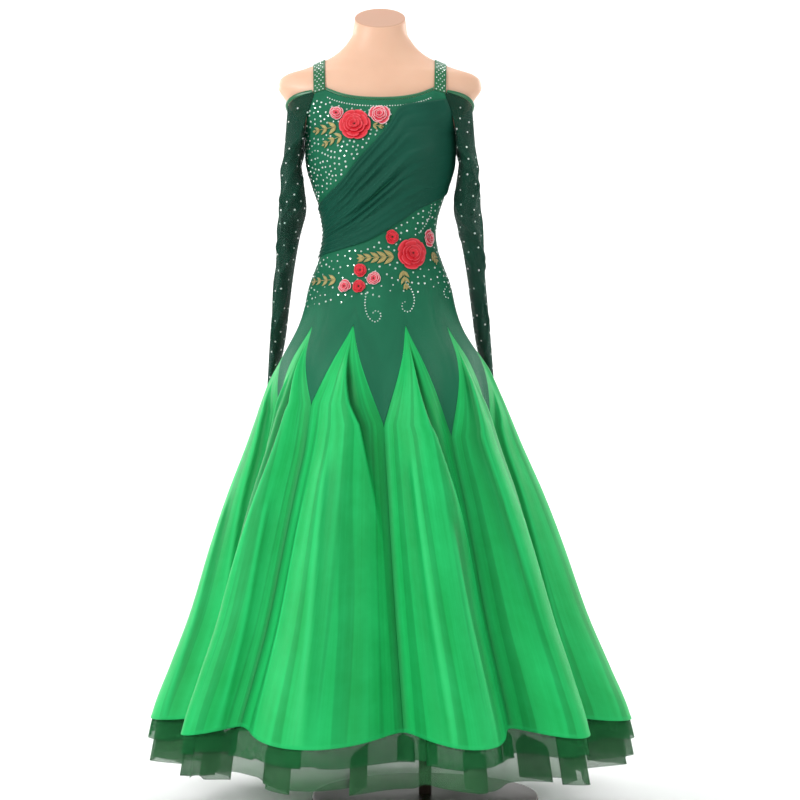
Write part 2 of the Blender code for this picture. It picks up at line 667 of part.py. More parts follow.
def build_rose(name, x, z, radius, petals, group):
    """A flower head: petals round a raised middle, its underside following the cloth."""
    count = 2 * petals
    azimuth = front_azimuth(x, z)
    shape = bmesh.new()
    layers = []
    for out, lift in ((APPLIQUE_IN, 0.0), (APPLIQUE_IN + APPLIQUE_THICK, APPLIQUE_RAISED)):
        middle = shape.verts.new(cloth(azimuth, z, out + HEART_LIFT * lift))
        rings = []
        for share, high in ((HEART_SHARE, lift), (1.0, 0.0)):
            ring = []
            for j in range(count):
                angle = pi * j / petals
                reach = radius * share * (1.0 if j % 2 == 0 or share < 1 else PETAL_NOTCH)
                height = z + reach * sin(angle)
                place = shift(azimuth, height, reach * cos(angle))
                ring.append(shape.verts.new(cloth(place, height, out + high)))
            rings.append(ring)
        layers.append((middle, rings))
        for j in range(count):
            k = (j + 1) % count
            shape.faces.new((middle, rings[0][j], rings[0][k]))
            shape.faces.new((rings[0][j], rings[1][j], rings[1][k]))
            shape.faces.new((rings[0][j], rings[1][k], rings[0][k]))
    low, high = layers[0][1][1], layers[1][1][1]
    for j in range(count):
        k = (j + 1) % count
        shape.faces.new((low[j], low[k], high[k]))
        shape.faces.new((low[j], high[k], high[j]))
    add_object(name, shape, ROSE, group)


def build_leaf(name, x0, z0, x1, z1, half, leaflets, group):
    """A spray of leaflets along a stem, raised along its middle."""
    azimuths = (front_azimuth(x0, z0), front_azimuth(x1, z1))
    reach = (azimuths[1] - azimuths[0]) / (shift(azimuths[0], z0, 1.0) - azimuths[0])
    length = hypot(reach, z1 - z0)
    along = (reach / length, (z1 - z0) / length)
    rows = 2 * leaflets + 1
    inner, outer = [], []
    for i in range(rows):
        t = i / (rows - 1)
        width = half * (1 - LEAF_TAPER * t) * (1.0 if i % 2 else LEAF_NOTCH)
        inner.append([])
        outer.append([])
        for across in (-1, 0, 1):
            height = z0 + along[1] * length * t + along[0] * width * across
            place = azimuths[0] + (azimuths[1] - azimuths[0]) * t
            place = shift(place, height, -along[1] * width * across)
            lift = APPLIQUE_RAISED / 2 if across == 0 else 0.0
            inner[-1].append(cloth(place, height, APPLIQUE_IN))
            outer[-1].append(cloth(place, height, APPLIQUE_IN + APPLIQUE_THICK + lift))
    wall(name, inner, outer, LEAF, group)


def main():
    for old in list(bpy.data.objects):
        bpy.data.objects.remove(old, do_unlink=True)
    group = bpy.data.collections.new("ballroom_dance_dress")
    bpy.context.scene.collection.children.link(group)
    build_bodice(group)
    build_drape(group)
    build_skirt(group)
    build_crinoline(group)
    for name, side, point_z in (("left", -1, CUFF_POINT_Z), ("right", 1, CUFF_POINT_Z + CUFF_UNEVEN)):
        build_sleeve(name, side, point_z, group)
        build_strap(name, side, group)
    build_form(group)
    build_stand(group)
    for row in ROSES:
        build_rose(*row, group)
    for row in LEAVES:
        build_leaf(*row, group)


main()
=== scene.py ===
from math import atan2, cos, pi, radians, sin, sqrt

import bpy
import numpy as np
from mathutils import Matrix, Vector


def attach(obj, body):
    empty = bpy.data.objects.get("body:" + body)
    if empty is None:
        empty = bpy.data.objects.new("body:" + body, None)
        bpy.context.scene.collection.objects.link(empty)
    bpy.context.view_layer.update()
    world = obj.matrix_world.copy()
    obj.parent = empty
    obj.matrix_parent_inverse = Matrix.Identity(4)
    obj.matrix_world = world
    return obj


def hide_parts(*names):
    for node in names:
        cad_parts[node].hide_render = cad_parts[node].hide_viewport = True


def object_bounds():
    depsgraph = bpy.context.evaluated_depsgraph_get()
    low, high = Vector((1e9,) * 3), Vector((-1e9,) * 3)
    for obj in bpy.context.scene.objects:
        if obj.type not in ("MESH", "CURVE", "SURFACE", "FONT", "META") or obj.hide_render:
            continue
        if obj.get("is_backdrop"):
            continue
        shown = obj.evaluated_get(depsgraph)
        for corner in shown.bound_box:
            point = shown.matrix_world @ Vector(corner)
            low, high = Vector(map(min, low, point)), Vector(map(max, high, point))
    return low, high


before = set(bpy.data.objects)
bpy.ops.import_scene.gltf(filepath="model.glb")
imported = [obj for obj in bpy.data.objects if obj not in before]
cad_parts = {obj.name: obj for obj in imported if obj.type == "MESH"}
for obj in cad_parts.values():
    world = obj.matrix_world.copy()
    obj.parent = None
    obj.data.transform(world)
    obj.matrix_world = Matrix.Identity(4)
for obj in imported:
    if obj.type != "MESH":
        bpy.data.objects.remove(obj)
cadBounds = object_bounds()


def plain(value):
    if hasattr(value, "__len__"):
        return [plain(v) for v in value]
    return float(value)


# Camera: level, in front of the dress, at the photo's distance
camera = dict(x=0.039, distance=3.8, height=0.7825, lens=87.7)
cameraData = bpy.data.cameras.new("camera")
cameraData.lens = camera["lens"]
cameraData.sensor_width = 36
cameraData.clip_end = 40
cameraObject = bpy.data.objects.new("camera", cameraData)
cameraObject.location = (camera["x"], -camera["distance"], camera["height"])
cameraObject.rotation_euler = (radians(90), 0, 0)
bpy.context.scene.collection.objects.link(cameraObject)
bpy.context.scene.camera = cameraObject
bpy.context.scene.view_settings.view_transform = "Standard"
print("camera placed")


# Shader maths on sockets
class Flow:
    def __init__(self, tree, socket):
        self.tree = tree
        self.socket = socket

    def maths(self, operation, *values):
        node = self.tree.nodes.new("ShaderNodeMath")
        node.operation = operation
        for slot, value in zip(node.inputs, values):
            if isinstance(value, Flow):
                self.tree.links.new(value.socket, slot)
            else:
                slot.default_value = value
        return Flow(self.tree, node.outputs[0])

    def __add__(self, other):
        return self.maths("ADD", self, other)

    def __radd__(self, other):
        return self.maths("ADD", other, self)

    def __sub__(self, other):
        return self.maths("SUBTRACT", self, other)

    def __rsub__(self, other):
        return self.maths("SUBTRACT", other, self)

    def __mul__(self, other):
        return self.maths("MULTIPLY", self, other)

    def __rmul__(self, other):
        return self.maths("MULTIPLY", other, self)

    def __truediv__(self, other):
        return self.maths("DIVIDE", self, other)

    def sine(self):
        return self.maths("SINE", self)

    def clamped(self):
        return self.maths("MINIMUM", self.maths("MAXIMUM", self, 0.0), 1.0)

    def smoothed(self, low, high):
        t = ((self - low) / (high - low)).clamped()
        return t * t * (3 - 2 * t)


class Finish:
    def __init__(self, name, colour, roughness, **plainInputs):
        self.material = bpy.data.materials.new(name)
        self.material.use_nodes = True
        self.tree = self.material.node_tree
        self.shader = self.tree.nodes["Principled BSDF"]
        self.shader.inputs["Base Color"].default_value = (*colour, 1)
        self.shader.inputs["Roughness"].default_value = roughness
        for socket, value in plainInputs.items():
            self.shader.inputs[socket.replace("_", " ")].default_value = value

    def node(self, kind, settings=None, output=0, **values):
        made = self.tree.nodes.new(kind)
        for key, value in (settings or {}).items():
            setattr(made, key, value)
        for key, value in values.items():
            slot = made.inputs[int(key[2:])] if key.startswith("at") else made.inputs[key.replace("_", " ")]
            if isinstance(value, Flow):
                self.tree.links.new(value.socket, slot)
            else:
                slot.default_value = value
        return Flow(self.tree, made.outputs[output])

    def place(self, scale=(1, 1, 1), uv=False):
        source = self.node("ShaderNodeTexCoord", output="UV" if uv else "Object")
        return self.node("ShaderNodeMapping", Vector=source, Scale=scale)

    def stored(self, name):
        return self.node("ShaderNodeAttribute", {"attribute_name": name}, output="Fac")

    def split(self, vector):
        made = self.tree.nodes.new("ShaderNodeSeparateXYZ")
        self.tree.links.new(vector.socket, made.inputs[0])
        return [Flow(self.tree, out) for out in made.outputs]

    def noise(self, at, scale, detail=2.0, roughness=0.5):
        return self.node("ShaderNodeTexNoise", output="Fac", Vector=at, Scale=scale, Detail=detail,
                         Roughness=roughness)

    def blend(self, factor, first, second, mode="MIX"):
        return self.node("ShaderNodeMix", {"data_type": "RGBA", "blend_type": mode}, output=2,
                         at0=factor, at6=first, at7=second)

    def drive(self, socket, value):
        self.tree.links.new(value.socket, self.shader.inputs[socket])

    def bump(self, height, distance, strength=1.0):
        self.drive("Normal", self.node("ShaderNodeBump", Height=height, Distance=distance, Strength=strength))


def rgb(hexText):
    # A colour as seen on screen, turned into the linear values that shaders take
    parts = [int(hexText[i:i + 2], 16) / 255 for i in (0, 2, 4)]
    return tuple(c / 12.92 if c <= 0.04045 else ((c + 0.055) / 1.055) ** 2.4 for c in parts)


def four(colour):
    return (*colour, 1.0)


# Jersey: a fine knit of loops in columns, with soft changes of shade
def jerseyFinish(name, deep, light, sheen, roughness, size):
    made = Finish(name, deep, roughness, Sheen_Weight=sheen, Sheen_Roughness=0.35,
                  Sheen_Tint=four(light), Specular_IOR_Level=0.12)
    width, height = size
    at = made.place((width, height, 1), uv=True)
    u, v, _ = made.split(at)
    columns = (u * (2 * pi / 0.0011)).sine()
    loops = (v * (2 * pi / 0.0009) + columns * 0.9).sine()
    knit = columns * 0.5 + loops * 0.5
    cloud = made.noise(at, 9.0, 3.0)
    shade = (cloud * 0.7 + knit * 0.10 + 0.15).clamped()
    made.drive("Base Color", made.blend(shade, four(deep), four(light)))
    made.drive("Roughness", roughness - 0.08 + cloud * 0.16)
    made.bump(knit * 0.5 + made.noise(at, 260.0) * 0.6, 0.00035, 0.5)
    return made.material


# Satin: long thread lines under a soft gloss
def satinFinish(name, deep, light):
    made = Finish(name, deep, 0.32, Sheen_Weight=0.3, Sheen_Tint=four(light), Coat_Weight=0.15,
                  Coat_Roughness=0.3)
    at = made.place((1, 1, 1))
    threads = made.noise(made.place((900, 900, 60)), 1.0, 2.0)
    cloud = made.noise(at, 30.0)
    made.drive("Base Color", made.blend((cloud * 0.6 + threads * 0.4).clamped(), four(deep), four(light)))
    made.drive("Roughness", 0.26 + threads * 0.16)
    made.bump(threads, 0.0003, 0.4)
    return made.material


# Organza: crisp and sheer, with threads that run down the godet, denser where its layers overlap, with
# painted shade in the gaps beside its folds and along the valleys, and painted highlight lines on the fold
# edges
def organzaFinish(name, deep, middle, light, size):
    made = Finish(name, middle, 0.42, Sheen_Weight=0.03, Sheen_Roughness=0.4, Sheen_Tint=four(light),
                  Specular_IOR_Level=0.14)
    width, height = size
    at = made.place((width, height, 1), uv=True)
    u, v, _ = made.split(at)
    streaks = made.noise(made.place((width * 38, height * 1.3, 1), uv=True), 1.0, 3.0, 0.55)
    fine = made.noise(made.place((width * 300, height * 3.0, 1), uv=True), 1.0, 2.0)
    shimmer = made.noise(at, 7.0, 4.0, 0.65)
    bands = made.noise(made.place((width * 22, height * 0.7, 1), uv=True), 1.0, 1.0, 0.4)
    tone = (streaks * 0.34 + shimmer * 0.42 + fine * 0.12 + 0.06).clamped()
    body = made.blend(tone.smoothed(0.25, 0.8), four(middle), four(light))
    layered = made.blend(bands.smoothed(0.52, 0.555) * 0.24, body, four(deep))
    # Painted shade: the stored deep mark darkens the cloth in the gaps beside the folds, and along the
    # valleys between godets, where it also stands for the denser overlapped cloth
    paintedShade = made.blend((made.stored("deep") * (0.80 + shimmer * 0.3)).clamped(), layered, four(deep))
    # Lighter at the hem, and painted highlight lines along the fold edges from the stored lit mark
    hem = 1 - v.smoothed(0.004, 0.009)
    edge = (hem * 0.35).maths("MAXIMUM", hem * 0.35, made.stored("lit"))
    made.drive("Base Color", made.blend(edge, paintedShade, four(light)))
    made.drive("Roughness", 0.34 + fine * 0.2)
    weave = (u * (2 * pi / 0.0008)).sine() + (v * (2 * pi / 0.0008)).sine()
    made.bump(weave * 0.10 + fine * 0.4 + streaks, 0.0005, 0.3)
    return made.material


# Net: a fine mesh that lets the light through between its threads
def netFinish(name, deep, light, cell, gapAlpha, threadAlpha, size):
    made = Finish(name, deep, 0.7, Sheen_Weight=0.04, Sheen_Tint=four(light), Specular_IOR_Level=0.10)
    width, height = size
    at = made.place((width, height, 1), uv=True)
    u, v, _ = made.split(at)
    first = ((u + v) * (2 * pi / cell)).sine()
    second = ((u - v) * (2 * pi / cell)).sine()
    thread = first.maths("MAXIMUM", first, second).smoothed(0.35, 0.85)
    cloud = made.noise(at, 12.0, 3.0)
    made.drive("Base Color", made.blend((cloud * 0.6 + thread * 0.3).clamped(), four(deep), four(light)))
    made.drive("Alpha", gapAlpha + thread * (threadAlpha - gapAlpha) * (0.7 + cloud * 0.5))
    made.bump(thread, 0.0003, 0.5)
    return made.material


# The dress's own surface, as its solids have it. Sections: height, half width, depth to the front,
# depth to the back, shift of the centre in x
sections = [
    (0.090, 0.484, 0.448, 0.455, 0.023), (0.184, 0.462, 0.425, 0.430, 0.022),
    (0.270, 0.427, 0.392, 0.396, 0.020), (0.375, 0.382, 0.350, 0.352, 0.017),
    (0.500, 0.338, 0.302, 0.304, 0.013), (0.599, 0.302, 0.266, 0.270, 0.010),
    (0.689, 0.265, 0.232, 0.238, 0.007), (0.782, 0.229, 0.196, 0.204, 0.004),
    (0.860, 0.195, 0.160, 0.170, 0.002), (0.925, 0.159, 0.118, 0.136, 0.000),
    (0.958, 0.148, 0.108, 0.128, 0.000), (1.003, 0.138, 0.099, 0.114, 0.000),
    (1.048, 0.1215, 0.092, 0.097, 0.000), (1.078, 0.1120, 0.088, 0.090, 0.000),
    (1.106, 0.1085, 0.087, 0.087, 0.000), (1.135, 0.1120, 0.089, 0.088, 0.000),
    (1.163, 0.1200, 0.093, 0.091, 0.000), (1.198, 0.1320, 0.100, 0.095, 0.000),
    (1.241, 0.1440, 0.104, 0.097, 0.000), (1.270, 0.1460, 0.104, 0.096, 0.000),
    (1.300, 0.1482, 0.098, 0.092, 0.000), (1.330, 0.1700, 0.088, 0.086, 0.000),
    (1.360, 0.1900, 0.075, 0.079, 0.000), (1.390, 0.2010, 0.062, 0.070, 0.000),
    (1.406, 0.1970, 0.056, 0.065, 0.000), (1.418, 0.1820, 0.052, 0.061, 0.000),
    (1.428, 0.1500, 0.049, 0.058, 0.000), (1.440, 0.1180, 0.047, 0.056, 0.000),
    (1.456, 0.0880, 0.045, 0.054, 0.000), (1.475, 0.0680, 0.044, 0.052, 0.000),
    (1.500, 0.0540, 0.043, 0.048, 0.000), (1.560, 0.0480, 0.042, 0.044, 0.000),
]
armhole = [(1.268, 0.1460), (1.300, 0.1440), (1.335, 0.1385), (1.372, 0.1255)]
# V points: azimuth at the top, height of the point, azimuth at the hem, depth of the valley
vPoints = np.array([
    (-180, 0.740, -180, 0.22), (-144, 0.745, -140, 0.20), (-108, 0.750, -102, 0.22), (-72, 0.760, -64, 0.21),
    (-36, 0.775, -45, 0.16), (0, 0.735, 4, 0.25), (36, 0.715, 36, 0.20), (72, 0.730, 62, 0.18),
    (108, 0.745, 100, 0.22), (144, 0.740, 140, 0.20)], float)
dress = dict(apex=0.925, hem=0.172, hemLift=0.016, armpit=1.268, corner=1.372, hip=1.000, earlyFall=0.26,
             lateFall=0.70, lateShare=0.3, bustX=0.072, bustZ=1.238, bustOut=0.020, bustSpread=0.040,
             strapFoot=1.378, neckFront=1.3555, neckBack=1.330, neckCurve=2.2, footShare=0.8)


def curve(table, x, column=1):
    # A monotone curve through one column of a table whose first column rises
    table = np.asarray(table, float)
    xs, ys = table[:, 0], table[:, column]
    x = np.clip(np.asarray(x, float), xs[0], xs[-1])
    chords = np.diff(ys) / np.diff(xs)
    slopes = np.concatenate([chords[:1], chords])
    a, b = chords[:-1], chords[1:]
    slopes[1:-1] = np.where(a * b <= 0, 0, 2 * a * b / np.where(a * b <= 0, 1, a + b))
    i = np.clip(np.searchsorted(xs, x, side="right") - 1, 0, len(xs) - 2)
    h = xs[i + 1] - xs[i]
    t = (x - xs[i]) / h
    return (ys[i] * (1 + 2 * t) * (1 - t) ** 2 + ys[i + 1] * t * t * (3 - 2 * t)
            + h * slopes[i] * t * (1 - t) ** 2 - h * slopes[i + 1] * t * t * (1 - t))


def ease(t):
    t = np.clip(t, 0.0, 1.0)
    return t * t * (3 - 2 * t)


def valley(k, z):
    k = np.asarray(k)
    row = vPoints[k % 10]
    t = np.clip((dress["apex"] - z) / (dress["apex"] - dress["hem"]), 0, 1)
    return row[..., 0] + 360 * (k // 10) + (row[..., 2] - row[..., 0]) * t


def ripple(azimuth, z):
    # How far the skirt is drawn in, as a share of its radius
    k = np.floor((azimuth + 180) / 36).astype(int)
    for _ in range(2):
        k = k - (valley(k, z) > azimuth)
    for _ in range(2):
        k = k + (valley(k + 1, z) <= azimuth)
    low, high = valley(k, z), valley(k + 1, z)
    t = (azimuth - low) / (high - low)
    depth = vPoints[k % 10][..., 3] * (1 - ease(t)) + vPoints[(k + 1) % 10][..., 3] * ease(t)
    fall = np.maximum(dress["apex"] - z, 0)
    late = dress["lateShare"]
    fade = (1 - late) * ease(fall / dress["earlyFall"]) + late * ease(fall / dress["lateFall"])
    return depth * fade * np.cos(pi * t) ** 2


def surface(azimuth, z, sway=0.0):
    # Azimuth 0 is the front and 90 the side at +X. Sway turns a point but leaves how far it is drawn in.
    azimuth, z = np.broadcast_arrays(np.asarray(azimuth, float), np.asarray(z, float))
    a = np.radians(azimuth + sway)
    draw = 1 - ripple(azimuth, z)
    side = curve(sections, z, 1) * draw
    depth = np.where(np.cos(a) >= 0, curve(sections, z, 2), curve(sections, z, 3)) * draw
    x = side * np.sin(a)
    y = -depth * np.cos(a)
    for bust in (-dress["bustX"], dress["bustX"]):
        far = ((x - bust) ** 2 + (z - dress["bustZ"]) ** 2) / (2 * dress["bustSpread"] ** 2)
        y = y - dress["bustOut"] * np.exp(-far) * np.maximum(np.cos(a), 0)
    return np.stack([x + curve(sections, z, 4), y, z], axis=-1)


def unit(vectors):
    return vectors / np.maximum(np.linalg.norm(vectors, axis=-1, keepdims=True), 1e-12)


def cloth(azimuth, z, out=0.0, sway=0.0):
    # A point of the surface, moved out along its normal
    across = surface(azimuth + 0.2, z) - surface(azimuth - 0.2, z)
    up = surface(azimuth, z + 0.001) - surface(azimuth, z - 0.001)
    return surface(azimuth, z, sway) + unit(np.cross(across, up)) * np.asarray(out, float)[..., None]


def shift(azimuth, z, distance):
    perDegree = np.linalg.norm(surface(azimuth + 0.2, z) - surface(azimuth - 0.2, z), axis=-1) / 0.4
    return azimuth + distance / perDegree


def seamAzimuth(z):
    share = curve(armhole, z) / curve(sections, z, 1)
    return np.where(z <= dress["armpit"], 90.0, np.degrees(np.arcsin(np.minimum(share, 1.0))))


def frontAzimuth(x, z):
    return np.degrees(np.arcsin(np.clip(x / curve(sections, z, 1), -1, 1)))


def topHeight(share, centre):
    # Height of the bodice's top edge from the middle (0) to the corner of the armhole (1)
    share = np.abs(share)
    foot = dress["footShare"]
    inner = centre + (dress["strapFoot"] - centre) * np.minimum(share / foot, 1) ** dress["neckCurve"]
    outer = dress["strapFoot"] + (dress["corner"] - dress["strapFoot"]) * (share - foot) / (1 - foot)
    return np.where(share <= foot, inner, outer)


def spline(points, at, closed=False):
    # A smooth curve through points along the first axis; at counts in points
    points = np.asarray(points, float)
    n = len(points)
    at = np.asarray(at, float)
    i = np.floor(at).astype(int)
    if not closed:
        i = np.clip(i, 0, n - 2)
    t = (at - i).reshape(at.shape + (1,) * (points.ndim - 1))

    def pick(j):
        if closed:
            return points[j % n]
        inside = points[np.clip(j, 0, n - 1)]
        low = 2 * points[0] - points[1]
        high = 2 * points[-1] - points[-2]
        side = (j < 0).reshape(t.shape)
        over = (j > n - 1).reshape(t.shape)
        return np.where(side, low, np.where(over, high, inside))

    a, b, c, d = pick(i - 1), pick(i), pick(i + 1), pick(i + 2)
    return 0.5 * (2 * b + (c - a) * t + (2 * a - 5 * b + 4 * c - d) * t ** 2
                  + (3 * b - a - 3 * c + d) * t ** 3)


def faceOut(points, out):
    # The points of a tube, rows by columns, moved out along the tube's own normals
    across = np.roll(points[:, :-1], -1, 1) - np.roll(points[:, :-1], 1, 1)
    across = np.concatenate([across, across[:, :1]], 1)
    up = np.gradient(points, axis=0)
    return points + unit(np.cross(across, up)) * out[..., None]


# Creases placed one by one. Row: start (across, up), end, bow, half width, height; metres or shares
def creases(across, up, table):
    total = np.zeros(np.broadcast(across, up).shape)
    for p0, q0, p1, q1, bow, width, height in table:
        length = sqrt((p1 - p0) ** 2 + (q1 - q0) ** 2)
        dp, dq = (p1 - p0) / length, (q1 - q0) / length
        along = ((across - p0) * dp + (up - q0) * dq) / length
        aside = -(across - p0) * dq + (up - q0) * dp - bow * 4 * along * (1 - along)
        ends = ease((along + 0.12) / 0.30) * ease((1.12 - along) / 0.30)
        spread = width * (0.7 + 0.6 * np.clip(along, 0, 1))
        total += height * np.exp(-(aside / spread) ** 2) * ends
    return total


def gridPiece(name, points, material, thick=0.001, closed=False, caps=False, marks=None):
    # A shell through rows of points: up the first axis, across the second, facing across x up.
    # The uv map runs 0 to 1 both ways, and marks holds values for its finish to read.
    rows, columns = points.shape[0] - 1, points.shape[1] - 1
    bpy.ops.object.select_all(action="DESELECT")
    bpy.ops.mesh.primitive_grid_add(x_subdivisions=columns, y_subdivisions=rows, size=1)
    made = bpy.context.object
    made.name = name
    mesh = made.data
    mesh.name = name
    flat = np.empty(len(mesh.vertices) * 3)
    mesh.vertices.foreach_get("co", flat)
    flat = flat.reshape(-1, 3)
    column = np.rint((flat[:, 0] + 0.5) * columns).astype(int)
    row = np.rint((flat[:, 1] + 0.5) * rows).astype(int)
    mesh.vertices.foreach_set("co", points[row, column].ravel())
    for mark, values in (marks or {}).items():
        stored = mesh.attributes.new(mark, "FLOAT", "POINT")
        stored.data.foreach_set("value", np.clip(values[row, column], 0, 1))
    mesh.update()
    if closed or caps:
        bpy.ops.object.mode_set(mode="EDIT")
        bpy.ops.mesh.select_all(action="SELECT")
        if closed:
            bpy.ops.mesh.remove_doubles(threshold=1e-6)
        if caps:
            bpy.ops.mesh.select_all(action="DESELECT")
            bpy.ops.mesh.select_mode(type="EDGE")
            bpy.ops.mesh.select_non_manifold()
            bpy.ops.mesh.edge_face_add()
            bpy.ops.mesh.select_all(action="SELECT")
            bpy.ops.mesh.normals_make_consistent(inside=False)
        bpy.ops.object.mode_set(mode="OBJECT")
    if thick:
        wall = made.modifiers.new("thickness", "SOLIDIFY")
        wall.thickness = thick
        wall.offset = -1.0
        bpy.ops.object.modifier_apply(modifier="thickness")
    mesh.materials.append(material)
    bpy.ops.object.shade_smooth()
    made.location = (0, 0, 0)
    return made


def joined(name, pieces):
    bpy.ops.object.select_all(action="DESELECT")
    for piece in pieces:
        piece.select_set(True)
    bpy.context.view_layer.objects.active = pieces[0]
    if len(pieces) > 1:
        bpy.ops.object.join()
    made = bpy.context.object
    made.name = name
    bpy.ops.object.transform_apply(location=True, rotation=True, scale=True)
    return made


def walkedTo(path):
    # How far along a path each of its points lies
    return np.concatenate([[0], np.cumsum(np.linalg.norm(np.diff(path, axis=0), axis=-1))])


def gridArea(points):
    across = points[:-1, 1:] - points[:-1, :-1]
    up = points[1:, :-1] - points[:-1, :-1]
    return float(np.linalg.norm(np.cross(across, up), axis=-1).sum())


bodiceMaterial = jerseyFinish("bodice_knit", rgb("14503a"), rgb("27805c"), 0.03, 0.52, (0.55, 0.60))
drapeMaterial = jerseyFinish("drape_knit", rgb("0e4234"), rgb("1a5c49"), 0.03, 0.54, (0.36, 0.17))
satinMaterial = satinFinish("binding_satin", rgb("12502f"), rgb("267a4d"))
# The skirt cloth's darkest green also serves as its painted shade in the folds and valleys
organzaMaterial = organzaFinish("skirt_cloth", rgb("074a20"), rgb("14a24b"), rgb("2acf74"), (0.40, 0.75))
sleeveMaterial = netFinish("sleeve_mesh", rgb("082a20"), rgb("1a5340"), 0.0016, 0.55, 0.94, (0.26, 0.60))
upperNetMaterial = netFinish("hem_net_upper", rgb("10522b"), rgb("2a8046"), 0.0022, 0.44, 0.78, (4.6, 0.065))
lowerNetMaterial = netFinish("hem_net_lower", rgb("1f5230"), rgb("4c8457"), 0.0024, 0.36, 0.70, (6.0, 0.11))

# Bodice: princess shape, its lower edge in V points between the godets
bodice = dict(columns=120, lowerRows=34, middleRows=66, topRows=16, chestZ=1.300, seam=0.0002, thick=0.0010,
              out=0.0005, creaseScale=0.175, seamDeep=0.0006, seamWide=0.0022, seamShare=0.47, seamScale=0.19,
              stretch=0.97)
frontCreases = [
    # across and up in metres, from the middle front
    (-0.150, 1.062, -0.040, 1.040, 0.004, 0.006, 0.0012),
    (-0.155, 1.030, -0.060, 1.018, -0.003, 0.007, 0.0010),
    (0.160, 1.120, 0.060, 1.092, 0.005, 0.006, 0.0013), (0.158, 1.085, 0.085, 1.072, -0.003, 0.005, 0.0011),
    (-0.170, 1.246, -0.110, 1.262, 0.004, 0.006, 0.0012),
    (-0.172, 1.272, -0.122, 1.300, 0.004, 0.005, 0.0010),
    (-0.020, 1.030, 0.040, 0.960, 0.006, 0.012, 0.0011), (0.080, 1.040, 0.110, 0.960, 0.004, 0.010, 0.0010),
    (-0.090, 1.040, -0.120, 0.950, 0.005, 0.011, 0.0011),
    (-0.060, 0.900, -0.020, 0.790, 0.004, 0.009, -0.0009),
    (0.170, 0.900, 0.140, 0.800, 0.004, 0.010, 0.0010), (-0.150, 0.890, -0.190, 0.800, 0.004, 0.010, 0.0010),
]
backCreases = [
    (-0.150, 1.110, -0.050, 1.096, 0.004, 0.006, 0.0012), (0.148, 1.118, 0.045, 1.102, -0.004, 0.006, 0.0013),
    (-0.130, 1.080, -0.030, 1.074, 0.003, 0.006, -0.0010), (0.140, 1.076, 0.035, 1.066, 0.003, 0.007, 0.0011),
    (-0.165, 1.250, -0.100, 1.285, 0.005, 0.006, 0.0011), (0.168, 1.252, 0.105, 1.290, -0.005, 0.006, 0.0011),
    (-0.060, 1.020, -0.090, 0.930, 0.006, 0.012, 0.0011), (0.070, 1.010, 0.095, 0.930, -0.005, 0.011, 0.0011),
]


def bodiceGrid(middle, centre):
    half = bodice["columns"] // 2
    share = np.arange(-half, half + 1) / half
    top = middle + 90 * share
    k = np.rint((top + 180) / 36).astype(int)
    k[0] = round((middle - 72 + 180) / 36)
    k[-1] = round((middle + 72 + 180) / 36)
    aside = top - (vPoints[k % 10][:, 0] + 360 * (k // 10))
    tip = vPoints[k % 10][:, 1]
    edge = tip + (dress["apex"] - tip) * np.abs(aside) / 18
    azimuths, heights = [], []
    for i in range(bodice["lowerRows"]):
        z = edge + (dress["hip"] - edge) * i / bodice["lowerRows"]
        azimuths.append(valley(k, z) + aside)
        heights.append(z)
    for i in range(bodice["middleRows"]):
        z = np.full_like(share, dress["hip"] + (bodice["chestZ"] - dress["hip"]) * i / bodice["middleRows"])
        azimuths.append(middle + seamAzimuth(z) * share)
        heights.append(z)
    rise = topHeight(share, centre)
    for i in range(bodice["topRows"] + 1):
        z = bodice["chestZ"] + (rise - bodice["chestZ"]) * i / bodice["topRows"]
        azimuths.append(middle + seamAzimuth(np.minimum(z, dress["corner"])) * share)
        heights.append(z)
    azimuths, heights = np.array(azimuths), np.array(heights)
    nudge = np.zeros_like(share)
    nudge[0], nudge[-1] = bodice["seam"], -bodice["seam"]
    return shift(azimuths, heights, nudge), heights, np.broadcast_to(share, azimuths.shape)


for side, middle, centre, table in (("front", 0, dress["neckFront"], frontCreases),
                                    ("back", 180, dress["neckBack"], backCreases)):
    azimuths, heights, share = bodiceGrid(middle, centre)
    out = bodice["out"] + creases(share * bodice["creaseScale"], heights, table)
    seams = [-bodice["seamShare"], bodice["seamShare"]]
    if side == "back":
        seams.append(0.0)
    for seam in seams:
        far = (share - seam) * bodice["seamScale"] / bodice["seamWide"]
        out = out - bodice["seamDeep"] * np.exp(-far ** 2)
    inside = np.clip((1 - np.abs(share)) * 20, 0, 1)
    out = out * inside + bodice["out"] * (1 - inside)
    points = cloth(azimuths, heights, out)
    piece = gridPiece("visual_bodice_" + side, points, bodiceMaterial, bodice["thick"])
    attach(piece, "root")
    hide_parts("bodice_" + side)
    gridArea(points) * bodice["stretch"]
print("bodice made")

# Drape: one ruched layer whose folds gather at the left side and fan out to the right
drape = dict(left=-0.985, right=0.975, columns=150, rows=120, out=0.0030, thick=0.0012)
drapeLower = [(-1.0, 1.056), (-0.60, 1.066), (-0.20, 1.082), (0.22, 1.122), (0.46, 1.150), (1.0, 1.188)]
drapeUpper = [(-1.0, 1.154), (-0.70, 1.168), (-0.39, 1.196), (-0.15, 1.2445), (0.06, 1.296), (0.29, 1.344),
              (0.60, 1.352), (1.0, 1.360)]
